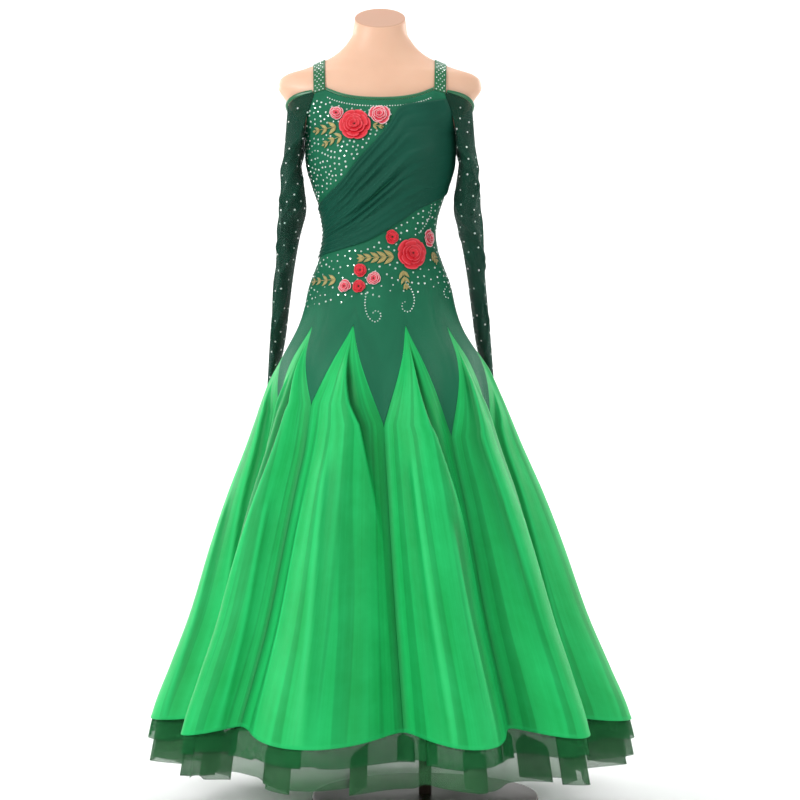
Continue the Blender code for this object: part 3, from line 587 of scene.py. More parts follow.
# Folds: place in the height at the left, at the right, bow, half width, height at the left, in the middle,
# at the right; a trough has less than no height
drapeFolds = [
    (0.04, 0.03, 0.00, 0.020, 0.0012, 0.0024, 0.0018), (0.12, 0.11, 0.01, 0.022, 0.0016, 0.0034, 0.0010),
    (0.20, 0.21, -0.02, 0.020, 0.0014, 0.0040, 0.0012), (0.29, 0.30, 0.02, 0.023, 0.0018, 0.0052, 0.0006),
    (0.38, 0.43, -0.01, 0.021, 0.0014, 0.0060, 0.0010), (0.46, 0.52, 0.02, 0.024, 0.0018, 0.0064, 0.0006),
    (0.56, 0.60, -0.02, 0.021, 0.0014, 0.0056, 0.0008), (0.64, 0.73, 0.01, 0.023, 0.0018, 0.0050, 0.0006),
    (0.73, 0.80, 0.03, 0.021, 0.0014, 0.0042, 0.0008), (0.82, 0.88, -0.01, 0.022, 0.0016, 0.0036, 0.0010),
    (0.90, 0.94, 0.01, 0.019, 0.0014, 0.0030, 0.0014), (0.975, 0.985, 0.00, 0.014, 0.0014, 0.0026, 0.0022),
    (0.16, 0.36, 0.05, 0.012, 0.0006, 0.0022, 0.0000), (0.42, 0.66, -0.05, 0.013, 0.0006, 0.0026, 0.0000),
    (0.69, 0.50, 0.04, 0.012, 0.0006, -0.0020, 0.0000), (0.52, 0.46, -0.04, 0.012, 0.0000, -0.0022, 0.0008),
    (0.34, 0.37, 0.01, 0.009, 0.0000, -0.0026, 0.0000), (0.42, 0.475, 0.00, 0.009, 0.0000, -0.0028, 0.0000),
    (0.25, 0.15, 0.03, 0.012, 0.0000, 0.0012, 0.0010), (0.86, 0.70, 0.02, 0.013, 0.0000, 0.0016, 0.0008),
]


def drapeGrid():
    share = np.linspace(drape["left"], drape["right"], drape["columns"] + 1)[None, :]
    t = np.linspace(0, 1, drape["rows"] + 1)[:, None]
    low, high = curve(drapeLower, share), curve(drapeUpper, share)
    z = low + (high - low) * t
    across = (share - drape["left"]) / (drape["right"] - drape["left"])
    lift = np.zeros(z.shape)
    for first, last, bow, wide, highLeft, highMiddle, highRight in drapeFolds:
        line = first + (last - first) * ease(across) + bow * 4 * across * (1 - across)
        tall = highLeft + (highMiddle - highLeft) * ease(across / 0.42)
        tall = tall + (highRight - highMiddle) * ease((across - 0.42) / 0.40)
        spread = wide * (1 + 0.9 * across)
        lift = lift + tall * np.exp(-((t - line) / spread) ** 2)
    rim = np.minimum(across / 0.02, (1 - across) / 0.03)
    lift = lift * np.clip(rim, 0.0, 1)
    azimuth = seamAzimuth(z) * share
    return cloth(azimuth, z, drape["out"] + lift)


points = drapeGrid()
piece = gridPiece("visual_drape", points, drapeMaterial, drape["thick"])
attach(piece, "root")
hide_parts("drape_front")
gridArea(points)
print("drape made")

# Skirt: ten godets between the V points, with soft folds placed one by one
skirt = dict(columns=76, rows=92, top=0.0030, thick=0.0007, out=0.0003, braid=0.0008, braidWide=0.006,
             bulge=0.30, bulgeFall=0.40, calm=0.10)
# Shape of a fold, with the painted shade beside it and along the valleys and the painted highlight on its
# edge, in shares of the godet's width
foldShape = dict(starts=0.10, ends=0.40, drop=0.022, troughAt=0.065, troughWide=0.055, troughDeep=0.45,
                 gapEdge=0.015, gapTop=0.17, gapNarrows=0.07, darkTop=1.05, darkFades=0.60, lit=0.55,
                 litWide=0.014, valleyWide=0.050, valleyDark=0.50)
# Folds of a godet: place across at the top and at the hem, start and end down, half width, height,
# the side where the cloth drops off sharply (1 right, -1 left), and how much painted shade falls in the gap
# beside it
godetFolds = [
    [(0.48, 0.20, 0.02, 0.95, 0.150, 0.0070, 1, 0.8), (0.72, 0.86, 0.12, 1.10, 0.090, 0.0045, -1, 0.4)],
    [(0.46, 0.74, 0.03, 0.80, 0.150, 0.0075, 1, 0.9), (0.30, 0.14, 0.25, 1.20, 0.080, 0.0035, -1, 0.4),
     (0.62, 0.52, 0.45, 1.20, 0.070, 0.0030, 1, 0.3)],
    [(0.70, 0.34, 0.04, 0.80, 0.130, 0.0080, -1, 1.0), (0.34, 0.12, 0.10, 1.10, 0.090, 0.0045, 1, 0.5),
     (0.60, 0.78, 0.40, 1.20, 0.080, 0.0030, 1, 0.3)],
    [(0.50, 1.22, 0.04, 0.60, 0.170, 0.0085, 1, 1.0), (0.38, 0.52, 0.30, 1.20, 0.110, 0.0035, 1, 0.4),
     (0.24, 0.20, 0.40, 1.15, 0.060, 0.0025, -1, 0.3)],
    [(0.42, 1.06, 0.03, 0.78, 0.160, 0.0085, 1, 0.9), (0.32, 0.36, 0.30, 1.20, 0.090, 0.0035, -1, 0.35),
     (0.55, 0.62, 0.45, 1.20, 0.080, 0.0030, 1, 0.4)],
    [(0.34, 0.46, 0.06, 0.90, 0.140, 0.0070, -1, 0.7), (0.62, 0.88, 0.12, 1.05, 0.110, 0.0055, 1, 0.6),
     (0.50, 0.66, 0.40, 1.20, 0.060, 0.0030, 1, 0.35)],
    [(0.46, 0.62, 0.03, 0.90, 0.140, 0.0075, 1, 0.8), (0.26, 0.14, 0.15, 1.10, 0.080, 0.0040, -1, 0.4),
     (0.72, 0.82, 0.40, 1.20, 0.060, 0.0030, 1, 0.3)],
]
order = [0, 1, 5, 2, 3, 4, 5, 6, 1, 2]


def godetEdge(k, side, z):
    tip = vPoints[k % 10][1]
    return valley(k, z) + side * 18 * np.clip((z - tip) / (dress["apex"] - tip), 0, 1)


for k in range(10):
    s = np.linspace(0, 1, skirt["columns"] + 1)[None, :]
    t = 1 - np.linspace(0, 1, skirt["rows"] + 1)[:, None]
    bottom = dress["hem"] + dress["hemLift"] * np.cos(pi * s) ** 2
    top = dress["apex"] - skirt["top"]
    z = top + (bottom - top) * t
    first, last = godetEdge(k, 1, z), godetEdge(k + 1, -1, z)
    lift, deep, lit = np.zeros(z.shape), np.zeros(z.shape), np.zeros(z.shape)
    for high, low, start, end, wide, tall, side, gapShade in godetFolds[order[k]]:
        fade = ease((t - start) / foldShape["starts"]) * ease((end - t) / foldShape["ends"])
        away = (s - high - (low - high) * t) * side
        slope = np.exp(-(away / np.where(away < 0, wide, foldShape["drop"])) ** 2)
        trough = np.exp(-((away - foldShape["troughAt"]) / foldShape["troughWide"]) ** 2)
        lift = lift + tall * fade * (slope - foldShape["troughDeep"] * trough)
        # Painted shade in the gap beside the fold's sharp drop, wider and darker near the top
        gapWide = foldShape["gapTop"] - foldShape["gapNarrows"] * t
        gap = ease(away / foldShape["gapEdge"]) * np.exp(-(away / gapWide) ** 2)
        deep = deep + gapShade * (foldShape["darkTop"] - foldShape["darkFades"] * t) * fade * gap
        # Painted highlight: a thin light line along the fold's lit edge
        edge = (away + foldShape["litWide"]) / foldShape["litWide"]
        lit = lit + foldShape["lit"] * fade * np.exp(-edge ** 2)
    # Painted shade along the valleys between godets, partly standing for the denser overlapped organza there
    valleyShade = sum(np.exp(-(far / foldShape["valleyWide"]) ** 2) for far in (s, 1 - s))
    deep = deep + foldShape["valleyDark"] * valleyShade * ease((t - 0.10) / 0.25)
    sway = -skirt["bulge"] * np.sin(2 * pi * s) / (2 * pi) * (last - first)
    sway = sway * ease((dress["apex"] - z) / skirt["bulgeFall"])
    lift = lift * ease(s / skirt["calm"]) * ease((1 - s) / skirt["calm"])
    hang = (top - bottom) * (1 - t)
    lift = lift + skirt["braid"] * (1 - ease((hang - skirt["braidWide"]) / 0.0025))
    points = cloth(first + (last - first) * s, z, skirt["out"] + lift, sway)
    # The painted shade (deep) and painted highlight (lit) go to the finish as marks
    piece = gridPiece("visual_skirt_panel_%02d" % (k + 1), points, organzaMaterial, skirt["thick"],
                      marks={"deep": deep, "lit": lit})
    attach(piece, "root")
    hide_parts("skirt_panel_%02d" % (k + 1))
    round(gridArea(points), 4)
print("skirt made")

# Hem flounces of stiff net in knife pleats, a short one over a long one, their tops hidden in the skirt
flounces = dict(top=0.205, upperEnd=0.140, lowerEnd=0.099, outward=0.62, rises=0.20, under=0.12, hangs=0.10,
                opens=0.45)
pleatSizes = [1.0, 0.62, 1.35, 0.8, 1.15, 0.55, 1.5, 0.9, 0.7, 1.25, 0.85, 1.1, 0.6]
pleatLaps = [0.42, 0.25, 0.5, 0.3, 0.2, 0.45, 0.28, 0.36]
pleatDrops = [0.2, -0.7, 0.9, -0.3, 0.5, -1.0, 0.1, 0.8, -0.5, 0.4, -0.9]
pleatSides = [1, 1, -1, 1, -1, -1, 1, -1, 1, -1, -1]


def hemPlace(turn, z):
    # Azimuth round the skirt, where a whole turn passes all ten godets evenly
    k = np.floor(turn * 10).astype(int)
    s = turn * 10 - k
    return valley(k, z) + (valley(k + 1, z) - valley(k, z)) * s


def flounce(name, node, count, each, rows, end, depths, lap, drop, material, thick):
    # Each pleat goes forward to its fold, back under it, and on into the next one
    sizes = np.array([pleatSizes[i % len(pleatSizes)] for i in range(count)])
    starts = np.concatenate([[0], np.cumsum(sizes)]) / sizes.sum()
    t = np.linspace(1, 0, rows + 1)[:, None]
    along, deep, low = [], [], []
    for i in range(count):
        p = np.linspace(0, 1, each, endpoint=False)
        wide = starts[i + 1] - starts[i]
        over = pleatLaps[i % len(pleatLaps)] * lap * wide
        outer = flounces["outward"]
        forward = (wide + over) * p / outer
        back = wide + over - over * (p - outer) / (1 - outer)
        place = np.where(p < outer, forward, back)
        returned = (p - outer) / (1 - outer)
        sunk = flounces["under"] + (1 - flounces["under"]) * returned
        inward = np.where(p < outer, 1 - ease(p / flounces["rises"]), sunk)
        hang = pleatDrops[i % len(pleatDrops)] * ease(p / flounces["hangs"]) * (1 - ease(returned))
        if pleatSides[i % len(pleatSides)] < 0:
            place, inward, hang = wide - place[::-1], inward[::-1], hang[::-1]
        along.append(starts[i] + place)
        deep.append(inward)
        low.append(hang)
    along, deep, low = [np.append(part, part[0]) for part in map(np.concatenate, (along, deep, low))]
    along[-1] += 1
    z = flounces["top"] + (end + drop * low[None, :] - flounces["top"]) * t
    apart = ease(t / flounces["opens"])
    even = np.interp(np.arange(count * each + 1), np.arange(count + 1) * each, starts)
    turn = even + (along - even) * apart
    lapped = np.floor(turn)
    azimuth = hemPlace(turn - lapped, z) + 360 * lapped
    points = cloth(azimuth, z, -depths[0] - depths[1] * t - depths[2] * apart * deep[None, :])
    points[:, -1] = points[:, 0]
    piece = gridPiece(name, points, material, thick, closed=True)
    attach(piece, "root")
    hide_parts(node)
    round(gridArea(points), 4)


flounce("visual_crinoline_upper", "crinoline_upper", 41, 26, 10, flounces["upperEnd"],
        (0.0018, 0.0006, 0.0036), 0.8, 0.005, upperNetMaterial, 0.0004)
flounce("visual_crinoline_lower", "crinoline_lower", 33, 34, 16, flounces["lowerEnd"],
        (0.0068, 0.0020, 0.0160), 1.0, 0.009, lowerNetMaterial, 0.0004)
print("hem flounces made")

# Sleeves: sheer tubes from the armhole, with creases round the arm and a pointed cuff
sleeve = dict(around=112, rows=150, thick=0.0006, seam=0.0008, lap=0.0014, clear=0.0030, rimEnd=1.336,
              cuffZ=0.862, cuffCurve=1.3)
sleeveRows = [
    (1.240, 0.1530, 0.1890, 0.000, 0.061), (1.190, 0.1465, 0.1930, 0.002, 0.059),
    (1.150, 0.1440, 0.1970, 0.006, 0.055), (1.100, 0.1570, 0.2010, 0.014, 0.052),
    (1.030, 0.1700, 0.2060, 0.028, 0.048), (0.960, 0.1800, 0.2130, 0.048, 0.045),
    (0.905, 0.1880, 0.2190, 0.068, 0.042),
]
cuffRow = (0.1980, 0.2290, 0.098, 0.038)
columnTurns = [0, 30, 60, 92, 115, 137, 158, 180]
# Creases in share of the way round (0 is the inner side, 0.25 the front) and height
sleeveCreases = dict(
    left=[(0.05, 1.300, 0.42, 1.215, 0.01, 0.020, 0.0042), (0.10, 1.262, 0.45, 1.150, -0.01, 0.018, 0.0040),
          (0.02, 1.215, 0.30, 1.120, 0.01, 0.016, 0.0044), (0.40, 1.235, 0.18, 1.070, 0.01, 0.017, 0.0038),
          (0.08, 1.165, 0.36, 1.055, 0.01, 0.016, 0.0046), (0.46, 1.130, 0.20, 0.985, -0.01, 0.016, 0.0038),
          (0.06, 1.090, 0.30, 0.960, 0.01, 0.015, 0.0040), (0.42, 1.035, 0.22, 0.900, 0.01, 0.014, 0.0034),
          (0.12, 1.000, 0.36, 0.890, -0.01, 0.014, 0.0036), (0.30, 0.960, 0.18, 0.850, 0.01, 0.012, 0.0028),
          (0.95, 1.280, 0.62, 1.180, 0.01, 0.020, 0.0040), (0.60, 1.230, 0.88, 1.100, 0.01, 0.018, 0.0040),
          (0.92, 1.150, 0.64, 1.030, -0.01, 0.018, 0.0042), (0.62, 1.080, 0.86, 0.960, 0.01, 0.016, 0.0036),
          (0.90, 1.020, 0.66, 0.900, 0.01, 0.015, 0.0034)],
    right=[(0.06, 1.290, 0.40, 1.225, -0.01, 0.020, 0.0040), (0.08, 1.245, 0.44, 1.165, 0.01, 0.017, 0.0042),
           (0.42, 1.260, 0.16, 1.110, 0.01, 0.018, 0.0038), (0.04, 1.190, 0.34, 1.095, -0.01, 0.016, 0.0046),
           (0.10, 1.135, 0.40, 1.030, 0.01, 0.016, 0.0042), (0.44, 1.150, 0.24, 1.010, 0.01, 0.015, 0.0034),
           (0.05, 1.070, 0.32, 0.965, 0.01, 0.015, 0.0040), (0.40, 1.050, 0.20, 0.930, -0.01, 0.014, 0.0034),
           (0.14, 1.010, 0.38, 0.910, 0.01, 0.014, 0.0036), (0.34, 0.950, 0.16, 0.870, 0.01, 0.012, 0.0028),
           (0.94, 1.270, 0.64, 1.165, -0.01, 0.020, 0.0040), (0.60, 1.215, 0.90, 1.090, 0.01, 0.018, 0.0038),
           (0.93, 1.130, 0.62, 1.015, 0.01, 0.018, 0.0042), (0.60, 1.060, 0.84, 0.945, -0.01, 0.016, 0.0036),
           (0.88, 1.000, 0.68, 0.890, 0.01, 0.015, 0.0032)],
)


def rimPlace(t):
    corner = float(seamAzimuth(dress["corner"]))
    return corner + (90 - corner) * t, dress["corner"] + (sleeve["rimEnd"] - dress["corner"]) * t ** 1.5


def sleeveControl(pointZ):
    # The solid's own rows of points: the rim, halfway, the sections and the cuff
    forward = [(float(shift(seamAzimuth(z), z, sleeve["seam"])), z) for z, _ in armhole[1:]]
    forward += [rimPlace(t / 4) for t in range(1, 5)]
    around = forward + [(180 - a, z) for a, z in reversed(forward[:-1])]
    rim = [np.array([0.1460 + sleeve["clear"], 0, dress["armpit"]])]
    for j, (a, z) in enumerate(around):
        rim.append(cloth(a, z, 0.0006 if 3 <= j < 10 else sleeve["lap"]))
    count = len(rim)
    turns = [columnTurns[min(j, count - j)] for j in range(count)]
    angles = np.radians([turn if j <= count // 2 else 360 - turn for j, turn in enumerate(turns)])

    def section(row, z):
        near, far, middleY, halfDepth = row
        half = (far - near) / 2
        return np.stack([near + half - half * np.cos(angles), middleY - halfDepth * np.sin(angles),
                         np.broadcast_to(z, angles.shape)], axis=-1)

    rows = [np.array(rim)]
    first = section(sleeveRows[0][1:], sleeveRows[0][0])
    rows.append((rows[0] + first) / 2)
    rows += [section(row[1:], row[0]) for row in sleeveRows]
    cuffZ = sleeve["cuffZ"] + (pointZ - sleeve["cuffZ"]) * ((1 - np.cos(angles)) / 2) ** sleeve["cuffCurve"]
    rows.append(section(cuffRow, cuffZ))
    return np.array(rows)


sleevePoints = {}
for side, name, pointZ in ((-1, "left", 0.760), (1, "right", 0.790)):
    control = sleeveControl(pointZ)
    count = control.shape[1]
    around = np.linspace(0, count, sleeve["around"] + 1)
    fine = spline(control.transpose(1, 0, 2), around, closed=True)
    down = np.linspace(len(control) - 1, 0, sleeve["rows"] + 1)
    points = spline(fine.transpose(1, 0, 2), down)
    points[:, -1] = points[:, 0]
    if side == -1:
        points = points[:, ::-1]
    share = np.linspace(0, 1, sleeve["around"] + 1)[None, :]
    if side == -1:
        share = 1 - share
    lift = creases(share * 0.24, points[..., 2],
                   [(p0 * 0.24, q0, p1 * 0.24, q1, bow, wide * 0.42, tall)
                    for p0, q0, p1, q1, bow, wide, tall in sleeveCreases[name]])
    rim = ease((dress["corner"] - 0.02 - points[..., 2]) / 0.05)
    points = points * np.array([side, 1, 1])
    points = faceOut(points, lift * rim)
    points[:, -1] = points[:, 0]
    sleevePoints[name] = points
    piece = gridPiece("visual_sleeve_" + name, points, sleeveMaterial, sleeve["thick"], closed=True)
    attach(piece, "root")
    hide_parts("sleeve_" + name)
    round(gridArea(points) * 0.97, 4)
print("sleeves made")

# Straps, neck bindings and shoulder bindings
trim = dict(strapHalf=0.0008, strapClear=0.0005, lean=0.35, neckHigh=0.0065, shoulderHigh=0.0070, half=0.0011,
            start=0.0030, gap=0.0004)


def shoulderHeight(x):
    low, high = np.full_like(x, 1.400), np.full_like(x, 1.560)
    for _ in range(40):
        middle = (low + high) / 2
        wider = curve(sections, middle, 1) > x
        low, high = np.where(wider, middle, low), np.where(wider, high, middle)
    return low


strapPoints = {}
for side, name in ((-1, "left"), (1, "right")):
    share = np.linspace(dress["footShare"], 1, 13)
    corner = float(seamAzimuth(dress["corner"]))
    footX = curve(sections, dress["strapFoot"], 1) * np.sin(np.radians(corner * share))
    footZ = topHeight(share, dress["neckFront"]) + trim["strapClear"]
    t = np.linspace(0, 1, 91)[:, None]
    x = footX + 0.0020 * np.sin(pi * t)
    ridge = shoulderHeight(x)
    z = ridge - (ridge - footZ) * (1 - 2 * t) ** 2
    azimuth = np.degrees(np.arcsin(np.minimum(1.0, x / curve(sections, z, 1))))
    azimuth = np.where(t < 0.5, azimuth, 180 - azimuth)
    points = cloth(azimuth, z, trim["strapHalf"])
    points = points * np.array([side, 1, 1])
    if side == -1:
        points = points[:, ::-1]
    strapPoints[name] = points
    piece = gridPiece("visual_strap_" + name, points, satinMaterial, 0.0016)
    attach(piece, "root")
    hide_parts("strap_" + name)
    length = float(walkedTo(points[:, 6])[-1])
    round(gridArea(points) / length, 4)


def bindingTube(name, node, azimuths, heights, high, side=1):
    # A folded strip of satin along an edge: an oval tube whose ends are closed
    turns = np.linspace(0, 2 * pi, 17)
    rows = []
    for turn in turns:
        up = trim["gap"] + high * (0.5 - 0.5 * np.cos(turn))
        rows.append(cloth(azimuths, heights + up, trim["half"] * np.sin(turn)) * np.array([side, 1, 1]))
    points = np.array(rows).transpose(1, 0, 2)
    points[:, -1] = points[:, 0]
    piece = gridPiece(name, points, satinMaterial, 0, closed=True, caps=True)
    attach(piece, "root")
    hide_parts(node)
    round(gridArea(points) / 2, 5)


for name, middle, centre in (("front", 0, dress["neckFront"]), ("back", 180, dress["neckBack"])):
    share = np.linspace(-dress["footShare"], dress["footShare"], 121)
    heights = topHeight(share, centre)
    azimuths = middle + seamAzimuth(np.minimum(heights, dress["corner"])) * share
    clear = trim["strapClear"] + trim["neckHigh"] * trim["lean"]
    azimuths[0] = shift(azimuths[0], heights[0], clear)
    azimuths[-1] = shift(azimuths[-1], heights[-1], -clear)
    bindingTube("visual_binding_neck_" + name, "binding_neck_" + name, azimuths, heights, trim["neckHigh"])
for side, name in ((-1, "left"), (1, "right")):
    path = [rimPlace(t) for t in np.linspace(0, 1, 41)]
    path += [(180 - a, z) for a, z in reversed(path[:-1])]
    azimuths, heights = np.array(path).T
    azimuths[0] = shift(azimuths[0], heights[0], trim["start"])
    azimuths[-1] = shift(azimuths[-1], heights[-1], -trim["start"])
    bindingTube("visual_binding_shoulder_" + name, "binding_shoulder_" + name, azimuths, heights,
                trim["shoulderHigh"], side)
print("straps and bindings made")

# The form: a smooth torso with a slanted neck cut, on a pole and a round base
form = dict(columns=96, flareZ=0.935, cutZ=1.527, slant=0.62, bottom=0.800)
formHip = [(0.800, 0.955), (0.825, 0.990), (0.865, 1.010), (0.905, 1.006), (0.935, 1.0)]
formInside = [(0.9, 0.0030), (1.240, 0.0030), (1.285, 0.0080), (1.360, 0.0080), (1.392, 0.0024),
              (1.416, 0.0016)]
stand = dict(x=0.088, poleRadius=0.0125, baseRadius=0.220, baseHigh=0.014, gap=0.0003)


def formSkin():
    made = Finish("form_smooth", rgb("e6b999"), 0.42, Coat_Weight=0.12, Coat_Roughness=0.35,
                  Subsurface_Weight=0.06)
    at = made.place()
    x, y, z = made.split(at)
    cap = (z - form["slant"] * y - form["cutZ"]).smoothed(-0.0012, 0.0002)
    cloud = made.noise(at, 14.0, 3.0)
    skin = made.blend(cloud, four(rgb("e0b091")), four(rgb("eec3a6")))
    made.drive("Base Color", made.blend(cap * 0.75, skin, four(rgb("b98a70"))))
    made.drive("Roughness", 0.36 + cloud * 0.12 + cap * 0.1)
    made.bump(made.noise(at, 900.0), 0.00006, 0.6)
    return made.material


def steelFinish():
    made = Finish("stand_coat", rgb("3a2c24"), 0.38, Metallic=0.55)
    at = made.place()
    grain = made.noise(at, 420.0, 3.0)
    cloud = made.noise(at, 11.0, 3.0)
    made.drive("Base Color", made.blend(cloud, four(rgb("2f231c")), four(rgb("4a3a30"))))
    made.drive("Roughness", 0.30 + cloud * 0.18 + grain * 0.08)
    made.bump(grain, 0.00012, 0.5)
    return made.material


def turned(name, profile, material, columns=72):
    # A turned piece about the pole's axis; the profile runs from the bottom's middle to the top's
    turn = np.linspace(0, 2 * pi, columns + 1)
    rows = [np.stack([stand["x"] + r * np.sin(turn), -r * np.cos(turn), np.full_like(turn, z)], axis=-1)
            for r, z in profile]
    points = np.array(rows)
    points[:, -1] = points[:, 0]
    return gridPiece(name, points, material, 0, closed=True)


def rounded(radius, low, high, edge):
    # A profile with rounded corners, closed at both ends
    steps = np.linspace(0, pi / 2, 6)
    lower = [(radius - edge + edge * sin(a), low + edge - edge * cos(a)) for a in steps]
    upper = [(radius - edge + edge * cos(a), high - edge + edge * sin(a)) for a in steps]
    return [(0, low), (radius * 0.5, low)] + lower + upper + [(radius * 0.5, high), (0, high)]


turns = np.linspace(0, 360, form["columns"] + 1)
heights = np.concatenate([np.linspace(form["bottom"], 1.20, 44, endpoint=False),
                          np.linspace(1.20, 1.385, 26, endpoint=False), np.linspace(1.385, 1.45, 30),
                          np.linspace(1.455, 1.495, 9)])
rings = []
for z in heights:
    inside = float(curve(formInside, z))
    ring = cloth(turns, max(z, form["flareZ"]), -inside)
    if z < form["flareZ"]:
        scale = float(curve(formHip, z))
        ring = np.stack([ring[:, 0] * scale, ring[:, 1] * scale, np.full(len(turns), z)], axis=-1)
    rings.append(ring)
neck = cloth(turns, form["cutZ"], -float(curve(formInside, form["cutZ"])))
neck[:, 2] = form["cutZ"] + form["slant"] * neck[:, 1]
for t in (0.35, 0.7):
    rings.append(rings[len(heights) - 1] * (1 - t) + neck * t)
centre = neck[:-1].mean(axis=0)
low = rings[0]
floor = low[:-1].mean(axis=0)
under = [floor + (low - floor) * share for share in (0.0, 0.5, 0.97)]
over = [neck]
over += [centre + (neck - centre) * share + np.array([0, 0, 0.0006]) for share in (0.97, 0.9, 0.5, 0.0)]
points = np.array(under + rings + over)
points[:, -1] = points[:, 0]
torso = gridPiece("visual_form_torso", points, formSkin(), 0, closed=True)
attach(torso, "root")
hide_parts("form_torso")
steel = steelFinish()
pole = turned("visual_stand_pole", rounded(stand["poleRadius"], stand["baseHigh"] + stand["gap"],
                                           form["bottom"] - stand["gap"], 0.0012), steel, 48)
base = turned("visual_stand_base", rounded(stand["baseRadius"], 0.0, stand["baseHigh"], 0.004), steel, 96)
for piece, node in ((pole, "stand_pole"), (base, "stand_base")):
    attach(piece, "root")
    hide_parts(node)
print("form and stand made")

# Applique: flowers of cupped petals and sprays of leaflets, laid on the cloth
applique = dict(out=0.0017, petalThick=0.0003, leafThick=0.0005)
# Flowers: name, x, height, radius, petals in the outer ring, kind
roses = [
    ("rose_chest_main", -0.047, 1.305, 0.030, 6, "red"),
    ("rose_chest_small", -0.082, 1.330, 0.013, 5, "pink"),
    ("rose_chest_side", 0.000, 1.325, 0.019, 5, "pink"), ("rose_hip_main", 0.062, 1.062, 0.030, 6, "red"),
    ("rose_hip_upper", 0.024, 1.093, 0.013, 5, "red"), ("rose_hip_bud", 0.094, 1.094, 0.016, 5, "pink"),
    ("rose_hip_trail_1", -0.036, 1.029, 0.0125, 5, "red"),
    ("rose_hip_trail_2", -0.011, 1.013, 0.0125, 5, "pink"),
    ("rose_hip_trail_3", -0.066, 0.999, 0.0120, 5, "pink"),
    ("rose_hip_trail_4", -0.039, 0.998, 0.0120, 5, "red"),
]
# Rings of petals: share of the radius they start and end at, lift at foot and rim, how many fewer petals
petalRings = [(0.30, 1.00, 0.0006, 0.0020, 0), (0.22, 0.76, 0.0022, 0.0040, 0),
              (0.12, 0.52, 0.0036, 0.0056, -1), (0.04, 0.30, 0.0048, 0.0068, -2)]
# Leaves: name, x and height of the stem's end, of the tip, half width, leaflets on each side
leaves = [
    ("leaf_chest_outer", -0.082, 1.302, -0.126, 1.298, 0.012, 3),
    ("leaf_chest_lower", -0.071, 1.283, -0.108, 1.268, 0.010, 3),
    ("leaf_chest_inner", -0.012, 1.304, 0.008, 1.300, 0.007, 2),
    ("leaf_hip_spray", 0.027, 1.055, -0.042, 1.052, 0.013, 5),
    ("leaf_hip_side", 0.099, 1.066, 0.1135, 1.048, 0.009, 3),
    ("leaf_hip_trail", -0.083, 1.012, -0.130, 1.010, 0.011, 4),
    ("leaf_hip_lower", 0.044, 1.028, 0.056, 0.992, 0.010, 3),
]


def onCloth(x, z, u, v, out):
    # A point u to the right and v up from a place on the front, measured along the cloth
    height = z + v
    return cloth(shift(frontAzimuth(x, height), height, u), height, out)


def petalFinish(name, heart, body, rim):
    made = Finish(name, body, 0.45, Sheen_Weight=0.5, Sheen_Tint=four(rim), Sheen_Roughness=0.3)
    u, v, _ = made.split(made.place(uv=True))
    cloud = made.noise(made.place((6, 6, 1), uv=True), 1.0, 3.0)
    edge = (v + (cloud - 0.5) * 0.18).smoothed(0.80, 1.02)
    foot = 1 - v.smoothed(0.0, 0.45)
    colour = made.blend(foot * 0.8, four(body), four(heart))
    made.drive("Base Color", made.blend(edge, colour, four(rim)))
    stitches = made.noise(made.place((60, 4, 1), uv=True), 1.0, 2.0)
    made.drive("Roughness", 0.38 + stitches * 0.2)
    made.bump(stitches, 0.0003, 0.6)
    return made.material


def leafFinish():
    made = Finish("leaf_thread", rgb("9a8440"), 0.42, Metallic=0.25, Sheen_Weight=0.4)
    u, v, _ = made.split(made.place(uv=True))
    rows = made.noise(made.place((5, 40, 1), uv=True), 1.0, 2.0)
    rib = 1 - ((u - 0.5).maths("ABSOLUTE", u - 0.5)).smoothed(0.02, 0.09)
    made.drive("Base Color", made.blend((rows * 0.8 + rib * 0.4).clamped(), four(rgb("6f6a34")),
                                        four(rgb("d3bd76"))))
    made.drive("Roughness", 0.32 + rows * 0.25)
    made.bump(rows - rib * 0.6, 0.0004, 0.7)
    return made.material


petalKinds = dict(red=petalFinish("petal_red", rgb("8e0a16"), rgb("d8172a"), rgb("ee4a58")),
                  pink=petalFinish("petal_pink", rgb("c21a30"), rgb("e2495a"), rgb("fbd9dc")))
leafMaterial = leafFinish()


def petal(x, z, angle, half, inner, outer, foot, lift, turn, material):
    b = np.linspace(0, 1, 11)[:, None]
    a = np.linspace(-1, 1, 13)[None, :]
    roundness = np.sqrt(np.maximum(1 - (a * 0.96) ** 4, 0.02))
    reach = inner + (outer - inner) * b * (0.80 + 0.20 * roundness)
    spread = half * (0.35 + 0.65 * np.sin(pi * (0.15 + 0.62 * b))) * a
    theta = angle + spread
    wave = 0.0004 * np.sin(5 * a + turn) * b
    high = foot + (lift - foot) * b ** 1.3 + wave + 0.0007 * a ** 2 * b + 0.0005 * ease((b - 0.75) / 0.25)
    points = onCloth(x, z, reach * np.cos(theta), reach * np.sin(theta), applique["out"] + high)
    points = points[:, ::-1]
    return gridPiece("petal", points, material, applique["petalThick"])


for index, (name, x, z, radius, count, kind) in enumerate(roses):
    pieces = []
    shares = petalRings if radius > 0.015 else petalRings[:3]
    for ring, (inner, outer, foot, lift, less) in enumerate(shares):
        number = count + less
        scale = min(1.0, 0.45 + radius / 0.045)
        for j in range(number):
            angle = 2 * pi * (j + 0.37 * ring + 0.13 * index) / number
            uneven = 1 + 0.10 * sin(3.1 * j + 1.7 * ring + index)
            pieces.append(petal(x, z, angle, 1.28 * pi / number, inner * radius, outer * radius * uneven,
                                foot * scale, lift * scale, j + index, petalKinds[kind]))
    flower = joined("visual_" + name, pieces)
    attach(flower, "root")
    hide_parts(name)
print("flowers made")


